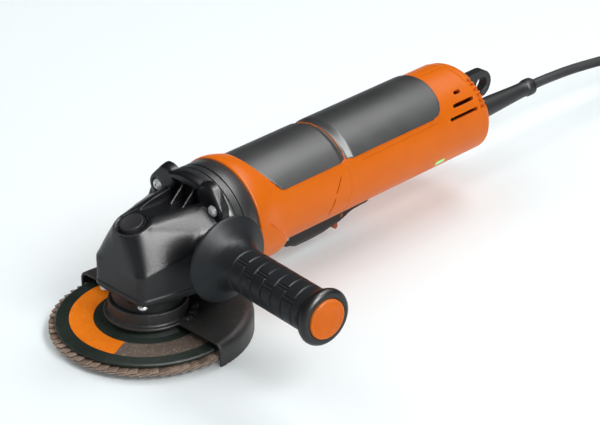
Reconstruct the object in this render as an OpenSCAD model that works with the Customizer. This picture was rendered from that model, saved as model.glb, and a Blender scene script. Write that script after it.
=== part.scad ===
// Angle grinder with a paddle switch, a quick-turn guard, a flap disc, a side handle and its mains lead.
// The origin is on the standing surface, under the middle of the tool without its free lead.
// +X runs to the rear, -Y is the operator's left, where the side handle is fitted, and +Z is up.
// Inside the modules, x = 0 and y = 0 is the spindle's axis and z = 0 is the standing surface.

/* [Flap disc] */
// Outer diameter of the flap disc
disc_d = 125; // [100:1:150]
// Distance by which the flaps stand out past the backing plate
flap_overhang = 4.2; // [3:0.1:6]
// Thickness of the backing plate
backing_t = 2.5; // [2:0.1:3.5]
// Height of the flap tips above the standing surface
flap_tip_z = 3; // [1:0.5:5]
// Height of the flap pack under the backing plate
flap_h = 4.2; // [3.5:0.1:6]
// Number of flaps
flap_count = 60; // [48:1:72]
// Inner diameter of the flap pack
flap_inner_d = 66; // [56:1:80]
// Diameter of the raised middle of the backing plate
hub_d = 50; // [46:0.5:54]
// Rise of the middle of the backing plate
hub_rise = 2.5; // [2:0.1:3]
// Bore of the disc
disc_bore_d = 22.2; // [22.2:0.1:23]
// Outer diameter of the printed label ring
label_d = 99; // [90:1:110]
// Inner diameter of the printed label ring
label_inner_d = 69; // [60:1:80]
// Angle that the label ring covers
label_arc = 200; // [90:5:300]

/* [Spindle and flanges] */
// Thread diameter of the spindle
thread_d = 14; // [10:1:16]
// Height of the spindle's lower end
nose_z = 3.2; // [2:0.1:4]
// Diameter of the inner flange
inner_flange_d = 41; // [36:0.5:43]
// Height of the inner flange above the disc
inner_flange_h = 4.8; // [4:0.1:6]
// Diameter of the clamping nut
nut_d = 40; // [34:0.5:42]
// Height of the clamping nut
nut_h = 5.2; // [4:0.1:5.6]
// Diameter of the spindle in its lower bearing
spindle_d = 15; // [12:0.5:17]
// Outer diameter of the lower spindle bearing
spindle_bearing_d = 32; // [28:0.5:35]
// Height of the lower spindle bearing
spindle_bearing_h = 9; // [8:0.5:11]
// Diameter of the spindle's upper journal
journal_d = 8; // [6:0.5:10]
// Outer diameter of the upper spindle bush
bush_d = 12; // [11:0.5:14]

/* [Bevel gears] */
// Teeth on the crown wheel
crown_teeth = 37; // [29:1:45]
// Teeth on the pinion
pinion_teeth = 12; // [9:1:15]
// Pitch radius of the crown wheel
crown_r = 20; // [18:0.5:21]
// Face width of the teeth
tooth_face = 6; // [4:0.5:7]

/* [Gear case] */
// Height of the body's axis above the standing surface
axis_z = 57; // [54:0.5:62]
// Height of the case's lower edge
case_z = 34; // [33:0.5:36]
// Distance of the nose face from the spindle
nose_x = 24; // [23:0.5:28]
// Half-width of the nose
nose_half_w = 23.4; // [22:0.2:26]
// Height of the case's ridge at the nose
ridge_z = 52; // [48:0.5:55]
// Rise of the ridge from nose to flange
ridge_rise = 17; // [10:0.5:20]
// Distance of the case's rear flange from the spindle
flange_x = 34; // [33:0.5:38]
// Thickness of the rear flange
flange_t = 6; // [4:0.5:8]
// Diameter of the rear flange
flange_d = 75; // [72:0.5:80]
// Distance of the flange screws from the axis plane, to each side
flange_screw_y = 25; // [24:0.5:27]
// Distance of the flange screws above and below the axis
flange_screw_z = 22.5; // [21:0.5:24]
// Diameter of the flange screws
flange_screw_d = 4; // [3:0.5:5]
// Height of the top of the lock button
button_z = 80; // [78:0.5:82]
// Distance of the lock button from the spindle, to the nose
button_x = 11; // [10.5:0.5:12]
// Diameter of the lock button
button_d = 15; // [12:0.5:17]
// Travel of the lock button
button_travel = 3; // [2:0.5:3.5]
// Diameter of the pin under the lock button
lock_pin_d = 4; // [3:0.5:5]

/* [Bearing flange and guard] */
// Diameter of the neck that carries the guard
neck_d = 45; // [43:0.5:46]
// Height of the neck's lower end
neck_z = 18; // [17.5:0.5:20]
// Thickness of the bearing flange's plate
bearing_plate_t = 3; // [2:0.5:4]
// Distance of the bearing flange's screws in front of and behind the spindle
bearing_screw_x = 19.5; // [19:0.1:20.5]
// Distance of the bearing flange's screws to each side of the spindle
bearing_screw_y = 17.5; // [17.2:0.1:18.5]
// Room between the disc's edge and the outside of the guard
guard_gap = 2.8; // [2.6:0.1:5]
// Height of the guard's top plate
guard_z = 15.8; // [15.5:0.1:17]
// Thickness of the guard's sheet
guard_t = 1.8; // [1.2:0.1:2]
// Radius of the bend between the guard's plate and its skirt
guard_bend = 6; // [4:0.5:8]
// Radius of the guard's plate around the neck, at the open side
guard_front_r = 28; // [27:0.5:34]
// Height of the guard's collar
collar_h = 10; // [6:0.5:10]
// Wall of the guard's collar
collar_t = 2.4; // [2:0.1:3]

/* [Motor housing] */
// Distance from the spindle to the front edge of the housing
housing_x = 61.6; // [58:0.1:66]
// Diameter of the housing's front collar
collar_d = 75; // [73:0.5:78]
// Diameter of the barrel
barrel_d = 65; // [62:0.5:67]
// Distance from the spindle to the end of the front collar
collar_end_x = 78; // [74:0.5:84]
// Distance from the spindle to the joint between housing and handle
joint_x = 146; // [144:0.5:150]
// Distance from the spindle to the rear face of the handle
rear_x = 285; // [282:0.5:290]
// Length of the rounding at the rear
rear_round_x = 10; // [8:0.5:12]
// Depth of the rounding at the rear
rear_round_r = 12; // [10:0.5:14]
// Forward lean of the rear face
rear_lean = 7.4; // [0:0.2:9]
// Bore of the motor housing
stator_d = 53; // [50:0.5:54]
// Wall of the handle shells
shell_t = 4; // [3:0.5:5]

/* [Grip pads] */
// Thickness of the pads
pad_t = 2.6; // [2:0.1:3]
// Height of the pads above the barrel
pad_proud = 0.9; // [0.4:0.1:1.2]
// Angle of the pads' lower edges above the level
pad_angle = 31; // [25:1:36]
// Front end of the front pad, at the top
front_pad_x = 76; // [76:0.5:80]
// Rear end of the rear pad, at the top
rear_pad_end_x = 242; // [220:1:250]

/* [Paddle switch] */
// Distance from the spindle to the paddle's pivot
paddle_pivot_x = 109; // [106:0.5:112]
// Height of the paddle's pivot
paddle_pivot_z = 25; // [24.5:0.5:25.5]
// Distance from the spindle to the paddle's free end
paddle_end_x = 184; // [180:1:196]
// Height of the paddle's underside
paddle_z = 11; // [9:0.5:12]
// Width of the paddle
paddle_w = 24; // [20:0.5:26]
// Wall of the paddle
paddle_wall = 2.4; // [2:0.1:3]
// Distance from the spindle to the lock-off lever's pivot
lock_off_x = 159; // [154:0.5:162]

/* [Side handle] */
// Distance behind the spindle where the side handle's axis meets the middle plane
handle_x = 23.4; // [20:0.2:25]
// Height of the side handle's axis
handle_z = 62.5; // [61:0.5:64]
// Forward tilt of the side handle
handle_tilt = 4.8; // [0:0.2:8]
// Distance along the side handle's axis from the middle plane to the bosses' faces
boss_y = 36.5; // [35:0.5:38]
// Diameter of the bosses
boss_d = 18; // [16:0.5:20]
// Diameter of the stud's thread
stud_d = 8; // [8:1:10]
// Distance along the axis to the hand guard's rim
bell_y = 51.4; // [48:0.2:54]
// Diameter of the hand guard's rim
bell_d = 56.2; // [54:0.2:64]
// Diameter of the grip
grip_d = 28; // [26:0.5:31]
// Distance along the axis to the grip's outer end
grip_end_y = 144.5; // [135:0.5:155]
// Diameter of the rim at the grip's outer end
grip_rim_d = 35.8; // [33:0.2:37]
// Diameter of the end cap
cap_d = 25.4; // [22:0.2:27]
// Distance by which the end cap stands out of the grip
cap_proud = 1.5; // [1:0.1:3]
// Number of grooves round the grip
groove_count = 9; // [6:1:10]

/* [Hanging eye and lead] */
// Distance between the handle's rear face and the eye
eye_gap = 8.8; // [4:0.1:12]
// Height of the eye's centre
eye_z = 65; // [62:0.5:66]
// Outer diameter of the eye
eye_d = 20; // [19:0.5:23]
// Bore of the eye
eye_bore_d = 10.6; // [8:0.2:12]
// Thickness of the eye
eye_t = 7; // [5:0.5:8]
// Drop of the lead's exit below the body's axis
lead_drop = 13.5; // [11:0.5:14]
// Distance from the spindle to the end of the strain relief
boot_end_x = 361.5; // [350:0.5:370]
// Diameter of the strain relief at the housing
boot_d = 15.6; // [14:0.2:16]
// Diameter of the lead
lead_d = 7; // [6:0.5:8]

/* [Hidden] */
$fn = 64;
facets = 32;
nudge = 0.01;
running_gap = 0.05;

// Heights of the stack on the spindle, from the flap tips up
backing_d = disc_d - 2 * flap_overhang;
backing_z = flap_tip_z + flap_h;
rim_top_z = backing_z + backing_t;
hub_top_z = rim_top_z + hub_rise;
hub_under_z = hub_top_z - backing_t;
flange_top_z = hub_top_z + inner_flange_h;
shoulder_d = spindle_d + 5;
shoulder_top_z = flange_top_z + 3;
bearing_z = shoulder_top_z + 0.5;
bearing_top_z = bearing_z + spindle_bearing_h;

// Bevel gears: both pitch cones meet where the two axes cross
pinion_r = crown_r * pinion_teeth / crown_teeth;
cone_len = sqrt(crown_r * crown_r + pinion_r * pinion_r);
cone_in = (cone_len - tooth_face) / cone_len;
crown_angle = atan2(crown_r, pinion_r);
pinion_angle = 90 - crown_angle;
module_size = 2 * crown_r / crown_teeth;
addendum = 0.8 * module_size;
dedendum = 1.1 * module_size;
crown_pitch_z = axis_z - pinion_r;
crown_back_z = crown_pitch_z - 4.5;
crown_hub_z = bearing_top_z + 1;
pinion_back_x = crown_r + 1;

case_cavity_d = 2 * (crown_r + 2);
cavity_top_z = crown_pitch_z + 4;
bush_z = axis_z + 1;
bush_top_z = bush_z + 8;
journal_top_z = bush_top_z - 0.5;
button_floor_z = button_z - 9.5;
button_under_z = button_floor_z + button_travel + 0.5;
lock_pin_z = crown_pitch_z + 2.8;
lock_tilt = 16;
label_end = 203;
stud_in_y = 22;
stud_out_y = 56;
flange_end_x = flange_x + flange_t;
flange_edge = 4.5;
screw_recess = 2;
guard_r = disc_d / 2 + guard_gap;

// Gear case outside: the step round the lock button and the thin lip at its foot
step_drop = 1.6;
lip_h = 1.6;
lip_w = 0.7;

// Motor: bearings, rotor and stator along the axis
front_bearing_d = 28;
front_bearing_h = 8;
front_bearing_x = flange_end_x - 2;
front_bearing_end_x = front_bearing_x + front_bearing_h;
rotor_d = 12;
rear_bearing_d = 22;
rear_bearing_h = 7;
rear_bearing_x = joint_x - 15;
rear_journal_d = 8;
pinion_shaft_d = 8;
stator_x = housing_x + 8;
stator_len = 48;
winding_len = 5;
core_d = 29;
air_gap = 0.8;
fan_d = 54;
fan_h = 9;
fan_x = housing_x - 12;
motor_web_x = rear_bearing_x - 4;
motor_web_end_x = rear_bearing_x + rear_bearing_h + 2;
cavity_end_x = rear_x - 7;
lead_z = axis_z - lead_drop;
eye_x = rear_x + eye_gap + eye_d / 2;
barrel_r = barrel_d / 2;
pad_top_r = barrel_r + pad_proud;
pad_under_r = pad_top_r - pad_t;
front_pad_end_x = joint_x - 0.4;
rear_pad_x = joint_x + 0.4;
pad_edge_z = axis_z + barrel_r * sin(pad_angle);

// Switch: the paddle's slot, its pin and ears, the plunger above it and the lock-off lever in it
paddle_slot_z = axis_z - stator_d / 2 - 1.2;
paddle_top_z = paddle_z + 15;
paddle_pin_d = 4;
ear_t = 3.5;
ear_r = 3.5;
switch_x = 162;
switch_len = 26;
switch_w = 18;
switch_h = 20;
plunger_x = switch_x + switch_len / 2;
lock_off_z = paddle_z + 11.6;
lock_off_tip_z = paddle_z - 2.4;
lock_off_w = 8;
lock_pin_bar_d = 3;
shell_slot_z = paddle_slot_z + 3.4;

// Motor housing: thin slits in both sides and the collar's lower rear edge
slit_w = 1.2;
slit_depth = 2;
foot_end_x = collar_end_x + 17;

// Rear handle: electronics and the screws that join the shells
electronics_x = switch_x + switch_len + 18;
electronics_end_x = electronics_x + 56;
handle_screw_y = 18;
handle_screw_places = [[197, 37.5], [236, 37.5], [rear_x - 17, 80]];

// Vents: angle above the level, front end and length of each long slot
vent_w = 2.4;
vent_places = [[20.5, 243, 27], [34.2, 249, 20], [48.6, 255, 6.5]];
notch_pitch = 7.02;
notch_count = 6;

// Side handle: core, grooves and the cap's seat
core_r = grip_d / 2 - 5.5;
cap_seat = 4;
groove_depth = 0.7;
groove_y = bell_y + 20;
groove_end_y = grip_end_y - 15;

// Middle of the tool, measured without the free lead
tool_front_x = -disc_d / 2;
tool_rear_x = boot_end_x;
handle_end_y = grip_end_y + cap_proud;
handle_reach = handle_end_y * cos(handle_tilt) + cap_d / 2 * sin(handle_tilt);
mid_x = (tool_front_x + tool_rear_x) / 2;
mid_y = (guard_r - handle_reach) / 2;

// Free lead: a straight start, a slack drop and a coil that lies on the surface, with the plug on it
coil_x = 496;
coil_y = -49.5;
coil_r_out = 53;
coil_r_in = 25;
coil_h = 35;
lead_route = [
    [boot_end_x, 0, lead_z], [370, 0, 43.4], [380, 0, 43], [391, 0, 42.3], [402, 0, 41.4],
    [414, 0, 40.1], [426, 0, 38.5], [438, 0, 36.8], [450, 0, 35.1], [462, 0, 33.6],
    [474, 0, 32.4], [486, 0, 31.7], [496, 0, 31.5]
];

tail_route = [
    [505.7, -22.7, 38.7], [514, -27.6, 41], [520.5, -35, 43.8], [523.8, -43, 46],
    [524.5, -52, 47.5], [524.5, -62, 48]
];
plug_x = 524.5;
plug_y = -62;
plug_z = 48;
plug_len = 47;
pin_pitch = 19;
pin_d = 4.8;

// ---------- shared shapes ----------

// Turns a revolved profile or cylinder so that it lies along +X on the body's axis
module on_axis(x = 0) {
    translate([x, 0, axis_z]) rotate([0, 90, 0]) children();
}

// A plain round bar along X on the body's axis
module x_bar(x, len, d) {
    on_axis(x) cylinder(h = len, d = d);
}

// Revolves [distance, radius] points about the body's axis
module x_turned(points) {
    on_axis() rotate_extrude() polygon([for (p = points) [p[1], p[0]]]);
}

// Extrudes an outline drawn in X and Z over a width along Y, centred on y = 0
module side_profile(width) {
    translate([0, width / 2, 0]) rotate([90, 0, 0]) linear_extrude(width) children();
}

// Places its children on the side handle's axis, with +Z running away from the tool
module on_handle(side = -1) {
    translate([handle_x, 0, handle_z])
        rotate([0, 0, side * handle_tilt])
            rotate([side < 0 ? 90 : -90, 0, 0]) children();
}

// Four places at the corners of a rectangle
module four_corners(a, b) {
    for (i = [-1, 1], j = [-1, 1]) translate([i * a, j * b, 0]) children();
}

// Pan-head screw along +Z, its head standing on z = 0
module pan_screw(d, head_d, head_h, len) {
    difference() {
        union() {
            translate([0, 0, -len]) cylinder(h = len + nudge, d = d);
            cylinder(h = head_h * 0.55, d = head_d);
            translate([0, 0, head_h * 0.55])
                cylinder(h = head_h * 0.45, d1 = head_d, d2 = head_d * 0.62);
        }
        translate([0, 0, head_h * 0.45]) cylinder(h = head_h, d = head_d * 0.36, $fn = 6);
    }
}

// ---------- gear case ----------

// Plan of the case between the nose and the flange
module case_plan(inset = 0) {
    nose_r = 6.5;
    half = nose_half_w - inset;
    hull() {
        for (s = [-1, 1]) {
            translate([-nose_x + inset + nose_r, s * (half - nose_r)])
                circle(r = nose_r, $fn = facets);
            translate([flange_x - 1, s * (flange_d / 2 - inset - 1)]) square([1, 0.1]);
        }
    }
}

// Sloping slab that ends the case's upright walls
module case_walls() {
    intersection() {
        translate([0, 0, case_z]) linear_extrude(flange_d) case_plan();
        side_profile(2 * flange_d)
            polygon([
                [-nose_x - 1, case_z], [flange_end_x, case_z],
                [flange_end_x, ridge_z + ridge_rise], [-nose_x - 1, ridge_z]
            ]);
    }
}

// Sloping dome between the ridge, the button's seat and the flange
module case_dome() {
    seat_r = 12;
    intersection() {
        translate([-flange_d, -flange_d, case_z]) cube([2 * flange_d, 2 * flange_d, flange_d]);
        hull() {
            for (s = [-1, 1]) translate([-nose_x + 10.5, s * (nose_half_w - 10), ridge_z - 1])
                cylinder(r = 9.2, h = 1.5, $fn = facets);
            translate([-button_x, 0, button_z - 8]) rotate([0, -lock_tilt, 0])
                cylinder(r1 = seat_r + 4, r2 = seat_r, h = 7, $fn = facets);
            x_bar(flange_x - 1, 1, flange_d - 2 * flange_edge);
        }
    }
}

// Shallow step on top of the case, round the button and back to the scoop
module top_step() {
    translate([-button_x, 0, button_z]) rotate([0, -lock_tilt, 0]) {
        translate([0, 0, -step_drop]) linear_extrude(10) {
            circle(r = 11.4);
            polygon(
                [[0, -11.4], [14, -8.6], [24, -12.5], [36, -15], [36, 15], [24, 12.5], [14, 8.6], [0, 11.4]]);
        }
        // Groove round the front and left of the button
        translate([0, 0, -step_drop - 1]) rotate([0, 0, 150]) rotate_extrude(angle = 200)
            translate([8.9, 0]) square([0.9, 3]);
    }
}

// Two humps on the flange that carry the upper screws, and two lower ears
module flange_ears() {
    x_turned([
        [flange_x, 0], [flange_x, flange_d / 2 - flange_edge],
        [flange_x + flange_edge - 0.5, flange_d / 2], [flange_end_x, flange_d / 2], [flange_end_x, 0]
    ]);
    for (s = [-1, 1]) {
        translate([flange_x, s * flange_screw_y, axis_z + flange_screw_z]) rotate([0, 90, 0])
            cylinder(h = flange_t, r = 7.6);
        translate([flange_x, s * 18.4, axis_z + 29]) rotate([0, 90, 0])
            cylinder(h = flange_t, r1 = 8, r2 = 9.6);
        translate([flange_x, s * flange_screw_y, axis_z - flange_screw_z]) rotate([0, 90, 0])
            cylinder(h = flange_t, r = 8);
    }
}

// Scoop in front of the flange where the cooling air leaves; its floor rises to the front
module air_scoop() {
    r = 5;
    hull() {
        for (s = [-1, 1]) {
            translate([9.5, s * 5.5, axis_z + 28]) sphere(r = r, $fn = facets);
            translate([flange_x - r + 3, s * 8, axis_z + 24]) sphere(r = r, $fn = facets);
            translate([9.5, s * 5.5, axis_z + 55]) sphere(r = r, $fn = facets);
            translate([flange_x - r + 3, s * 8, axis_z + 55]) sphere(r = r, $fn = facets);
        }
    }
}

module gear_case() {
    color("#1b1c1e") {
        difference() {
            union() {
                case_walls();
                case_dome();
                flange_ears();
                for (s = [-1, 1]) on_handle(s)
                    translate([0, 0, stud_in_y - 4]) cylinder(h = boss_y - stud_in_y + 4, d = boss_d);
                // Lip along the lower edge
                translate([0, 0, case_z]) linear_extrude(lip_h) case_plan(-lip_w);
            }
            top_step();
            // Notches behind the humps
            for (s = [-1, 1]) translate([flange_x + 3.4, s * 18.4 - 4, axis_z + 35.6])
                cube([flange_t, 8, 8]);
            difference() {
                air_scoop();
                for (y = [-5, 4]) hull() {
                    translate([13, y * 0.6, axis_z + 10]) cube([1, 1, 15]);
                    translate([flange_x + 1, y, axis_z + 10]) cube([1, 1, 25]);
                }
            }
            // Gear space, pinion space and the front bearing's pocket
            translate([0, 0, case_z - 1]) cylinder(h = cavity_top_z - case_z + 1, d = case_cavity_d);
            x_bar(5, flange_end_x, 2 * (pinion_r + 3));
            x_bar(flange_x + 1, flange_t, front_bearing_d + 2);
            // Bush seat above the gears
            translate([0, 0, crown_pitch_z]) cylinder(h = bush_top_z - crown_pitch_z, d = bush_d);
            // Lock button's well and the pin's bore
            translate([-button_x, 0, button_floor_z]) cylinder(h = 20, d = button_d + 2 * running_gap);
            translate([-button_x, 0, crown_pitch_z])
                cylinder(h = 20, d = lock_pin_d + 2 * running_gap);
            // Handle threads
            for (s = [-1, 1]) on_handle(s)
                translate([0, 0, stud_in_y]) cylinder(h = 40, d = stud_d);
            // Flange screws
            for (s = [-1, 1], t = [-1, 1])
                translate([flange_x - 20, s * flange_screw_y, axis_z + t * flange_screw_z])
                    rotate([0, 90, 0]) cylinder(h = 40, d = flange_screw_d);
            for (s = [-1, 1], t = [-1, 1])
                translate([flange_x - 20, s * flange_screw_y, axis_z + t * flange_screw_z])
                    rotate([0, 90, 0]) cylinder(h = 20 + screw_recess, r = 4.5);
            // Bearing flange screws
            translate([0, 0, case_z - 1]) four_corners(bearing_screw_x, bearing_screw_y)
                cylinder(h = 9, d = 3);
        }
    }
}

module gear_case_screws() {
    color("#d8dadd")
        for (s = [-1, 1], t = [-1, 1])
            translate([flange_x + screw_recess, s * flange_screw_y, axis_z + t * flange_screw_z])
                rotate([0, -90, 0])
                    pan_screw(flange_screw_d, 7.4, 3, housing_x + 8 - flange_x - screw_recess);
}

module case_bush() {
    color("#b08d57") translate([0, 0, bush_z]) difference() {
        cylinder(h = bush_top_z - bush_z, d = bush_d);
        translate([0, 0, -1]) cylinder(h = 10, d = journal_d + 2 * running_gap);
    }
}

// Button with a dished top that leans with the case, on its locking pin
module lock_button() {
    color("#232426") difference() {
        translate([-button_x, 0, 0]) union() {
            translate([0, 0, button_under_z]) cylinder(h = 12, d = button_d);
            translate([0, 0, lock_pin_z]) cylinder(h = button_under_z - lock_pin_z + 1, d = lock_pin_d);
        }
        translate([-button_x, 0, button_z]) rotate([0, -lock_tilt, 0]) {
            translate([-15, -15, 0]) cube([30, 30, 20]);
            translate([0, 0, 22]) sphere(r = 23);
        }
    }
}

module lock_button_spring() {
    color("#9a9c9f") translate([-button_x, 0, button_floor_z]) difference() {
        cylinder(h = button_under_z - button_floor_z, d = lock_pin_d + 5);
        translate([0, 0, -1]) cylinder(h = 10, d = lock_pin_d + 2);
    }
}

// ---------- spindle head ----------

// Neck for the guard with the plate that closes the case from below
module bearing_flange() {
    color("#26272a") difference() {
        union() {
            translate([0, 0, neck_z]) cylinder(h = case_z - neck_z, d = neck_d);
            translate([0, 0, case_z - bearing_plate_t]) linear_extrude(bearing_plate_t)
                intersection() {
                    case_plan(2);
                    translate([-50, -50]) square([50 + neck_d / 2 + 4, 100]);
                }
        }
        translate([0, 0, bearing_z]) cylinder(h = 30, d = spindle_bearing_d);
        translate([0, 0, neck_z - 1]) cylinder(h = 20, d = shoulder_d + 2);
        translate([0, 0, case_z - 10]) four_corners(bearing_screw_x, bearing_screw_y) cylinder(h = 20, d = 3);
    }
}

module bearing_flange_screws() {
    color("#d8dadd") translate([0, 0, case_z - bearing_plate_t])
        four_corners(bearing_screw_x, bearing_screw_y)
        rotate([180, 0, 0]) pan_screw(3, 6.4, 2.6, bearing_plate_t + 8);
}

// Ball bearing: two races with a shielded gap between them
module ball_bearing(bore, outer, h) {
    difference() {
        cylinder(h = h, d = outer);
        translate([0, 0, -1]) cylinder(h = h + 2, d = bore);
        for (z = [-1, h - 0.6]) translate([0, 0, z]) difference() {
            cylinder(h = 1.6, d = outer - 4);
            translate([0, 0, -1]) cylinder(h = 4, d = bore + 4);
        }
    }
}

module spindle_bearing() {
    color("#aeb1b5") translate([0, 0, bearing_z])
        ball_bearing(spindle_d + 2 * running_gap, spindle_bearing_d, spindle_bearing_h);
}

module spindle() {
    color("#a7aaad") rotate_extrude() polygon([
        [0, nose_z], [thread_d / 2 - 0.8, nose_z], [thread_d / 2, nose_z + 0.8],
        [thread_d / 2, flange_top_z], [shoulder_d / 2, flange_top_z],
        [shoulder_d / 2, shoulder_top_z], [spindle_d / 2, shoulder_top_z],
        [spindle_d / 2, crown_hub_z], [spindle_d / 2 - 0.5, crown_hub_z],
        [spindle_d / 2 - 0.5, crown_back_z], [5, crown_back_z + 2], [5, axis_z],
        [journal_d / 2, axis_z], [journal_d / 2, journal_top_z], [0, journal_top_z]
    ]);
}

// Point [radius, height] on a gear's cone at distance len from its apex, raised by h
function cone_point(len, angle, h) =
    [len * sin(angle) + h * cos(angle), h * sin(angle) - len * cos(angle)];

// Tapering teeth on a cone whose apex is at the origin; phase 0.5 puts a gap on the +X side
module bevel_teeth(count, angle, phase) {
    root_w = 0.33 * PI * module_size;
    tip_w = 0.1 * PI * module_size;
    for (i = [0 : count - 1])
        rotate([0, 0, 360 / count * (i + phase)])
            polyhedron(
                points = [
                    for (k = [cone_in, 1], q = [[-dedendum - 0.1, root_w], [addendum, tip_w]], s = [-1, 1])
                        let (p = cone_point(k * cone_len, angle, k * q[0])) [p[0], s * k * q[1], p[1]]
                ],
                faces = [[0, 1, 3, 2], [4, 6, 7, 5], [0, 4, 5, 1], [2, 3, 7, 6], [0, 2, 6, 4], [1, 5, 7, 3]]
            );
}

module crown_wheel() {
    root_in = cone_point(cone_in * cone_len, crown_angle, -cone_in * dedendum);
    root_out = cone_point(cone_len, crown_angle, -dedendum);
    bore_r = spindle_d / 2 - 0.5;
    color("#8d9094") translate([0, 0, axis_z]) {
        difference() {
            rotate_extrude() polygon([
                [bore_r, crown_hub_z - axis_z], [11, crown_hub_z - axis_z],
                [11, crown_back_z - axis_z - 2], [root_out[0], crown_back_z - axis_z],
                root_out, root_in, [bore_r, root_in[1]]
            ]);
            for (a = [0 : 90 : 270]) rotate([0, 0, a])
                translate([button_x, 0, root_in[1] - 4]) cylinder(h = 10, d = lock_pin_d + 1);
        }
        bevel_teeth(crown_teeth, crown_angle, 0.5);
    }
}

module inner_flange() {
    color("#9b9ea2") difference() {
        union() {
            translate([0, 0, hub_top_z]) cylinder(h = inner_flange_h - 1, d = inner_flange_d);
            translate([0, 0, hub_top_z]) cylinder(h = inner_flange_h, d = inner_flange_d - 8);
            translate([0, 0, hub_under_z]) cylinder(h = backing_t, d = disc_bore_d - 0.1);
        }
        cylinder(h = 40, d = thread_d);
    }
}

// Round nut with four holes for a pin spanner
module clamping_nut() {
    color("#85888c") difference() {
        translate([0, 0, hub_under_z - nut_h]) cylinder(h = nut_h, d = nut_d);
        cylinder(h = 40, d = thread_d);
        for (a = [0 : 90 : 270]) rotate([0, 0, a])
            translate([15, 0, hub_under_z - nut_h - 1]) cylinder(h = 4, d = 5);
    }
}

module disc_backing() {
    color("#20271f") rotate_extrude() polygon([
        [disc_bore_d / 2, hub_under_z], [hub_d / 2 - 3, hub_under_z],
        [hub_d / 2 + 1, backing_z], [backing_d / 2 - 0.6, backing_z], [backing_d / 2, backing_z + 0.6],
        [backing_d / 2, rim_top_z - 0.8], [backing_d / 2 - 0.8, rim_top_z],
        [hub_d / 2 + 3, rim_top_z], [hub_d / 2 - 1, hub_top_z], [disc_bore_d / 2, hub_top_z]
    ]);
}

// Fan of overlapping flaps; each one stands a little proud of the next
module disc_flaps() {
    pitch = 360 / flap_count;
    color("#7a4a32") difference() {
        translate([0, 0, flap_tip_z]) linear_extrude(flap_h) polygon([
            for (i = [0 : flap_count - 1],
                 q = [[0, disc_d / 2], [0.86, disc_d / 2 - 1.2], [0.93, disc_d / 2 - 3]])
                [q[1] * cos(pitch * (i + q[0])), q[1] * sin(pitch * (i + q[0]))]
        ]);
        translate([0, 0, -1]) cylinder(h = 20, d = flap_inner_d);
    }
}

module disc_label() {
    color("#e8731a") translate([0, 0, rim_top_z]) rotate([0, 0, label_end - label_arc])
        rotate_extrude(angle = label_arc)
            translate([label_inner_d / 2, 0]) square([(label_d - label_inner_d) / 2, 0.25]);
}

// Half round cover with a bent edge and a collar that turns on the neck
module guard() {
    plate_z = guard_z - guard_t;
    bore_r = neck_d / 2 + running_gap;
    color("#2a2b2d") difference() {
        union() {
            rotate([0, 0, -90]) rotate_extrude(angle = 180) guard_section();
            translate([0, 0, plate_z]) cylinder(h = guard_t, r = guard_front_r);
            translate([0, 0, plate_z]) cylinder(h = collar_h, r = bore_r + collar_t);
            for (a = [-75, -59, -44]) rotate([0, 0, a])
                translate([bore_r + collar_t + 1.5, -2.5, plate_z]) cube([4, 5, guard_t + 1.6]);
        }
        translate([0, 0, plate_z - 1]) cylinder(h = collar_h + 4, r = bore_r);
    }
}

// Half section of the guard: skirt, bend and plate
module guard_section() {
    inner_r = guard_bend - guard_t;
    difference() {
        union() {
            translate([guard_r - guard_t, 0]) square([guard_t, guard_z - guard_bend]);
            translate([neck_d / 2 + 1, guard_z - guard_t])
                square([guard_r - guard_bend - neck_d / 2 - 1, guard_t]);
            intersection() {
                translate([guard_r - guard_bend, guard_z - guard_bend]) circle(r = guard_bend);
                translate([guard_r - guard_bend, guard_z - guard_bend]) square(guard_bend);
            }
        }
        translate([guard_r - guard_bend, guard_z - guard_bend]) circle(r = inner_r);
    }
}

// ---------- motor ----------

// Black ring between case and housing, with the fan's space and the front bearing's seat
module gearbox_plate() {
    rim = flange_d / 2 - 0.3;
    color("#1e1f21") difference() {
        x_turned([
            [flange_end_x, 0], [flange_end_x, rim], [flange_end_x + 4, rim],
            [flange_end_x + 5, rim - 1.2], [flange_end_x + 10, rim - 1.6],
            [flange_end_x + 11, rim - 0.6], [housing_x, collar_d / 2 - 0.8], [housing_x, 0]
        ]);
        x_bar(flange_end_x - 1, front_bearing_end_x - flange_end_x + 1, front_bearing_d);
        x_bar(flange_end_x - 1, 30, rotor_d + 4);
        x_bar(front_bearing_end_x + 2, 30, 60);
        for (a = [0 : 90 : 270]) on_axis(flange_end_x - 1) rotate([0, 0, a])
            translate([22, 0, 0]) cylinder(h = 12, d = 10);
        for (s = [-1, 1], t = [-1, 1])
            translate([flange_x, s * flange_screw_y, axis_z + t * flange_screw_z])
                rotate([0, 90, 0]) cylinder(h = 60, d = flange_screw_d);
    }
}

module front_motor_bearing() {
    color("#aeb1b5") on_axis(front_bearing_x)
        ball_bearing(rotor_d + 2 * running_gap, front_bearing_d, front_bearing_h);
}

module rear_motor_bearing() {
    color("#aeb1b5") on_axis(rear_bearing_x)
        ball_bearing(rear_journal_d + 2 * running_gap, rear_bearing_d, rear_bearing_h);
}

module pinion() {
    root_in = cone_point(cone_in * cone_len, pinion_angle, -cone_in * dedendum);
    root_out = cone_point(cone_len, pinion_angle, -dedendum);
    color("#8d9094") translate([0, 0, axis_z]) rotate([0, -90, 0]) {
        rotate_extrude() polygon([
            [pinion_shaft_d / 2 - 1.6, root_in[1]], root_in, root_out,
            [root_out[0], -pinion_back_x], [pinion_shaft_d / 2 + 2, -pinion_back_x],
            [pinion_shaft_d / 2 + 2, -pinion_back_x - 8], [pinion_shaft_d / 2 - 1.6, -pinion_back_x - 8]
        ]);
        bevel_teeth(pinion_teeth, pinion_angle, 0);
    }
}

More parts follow.
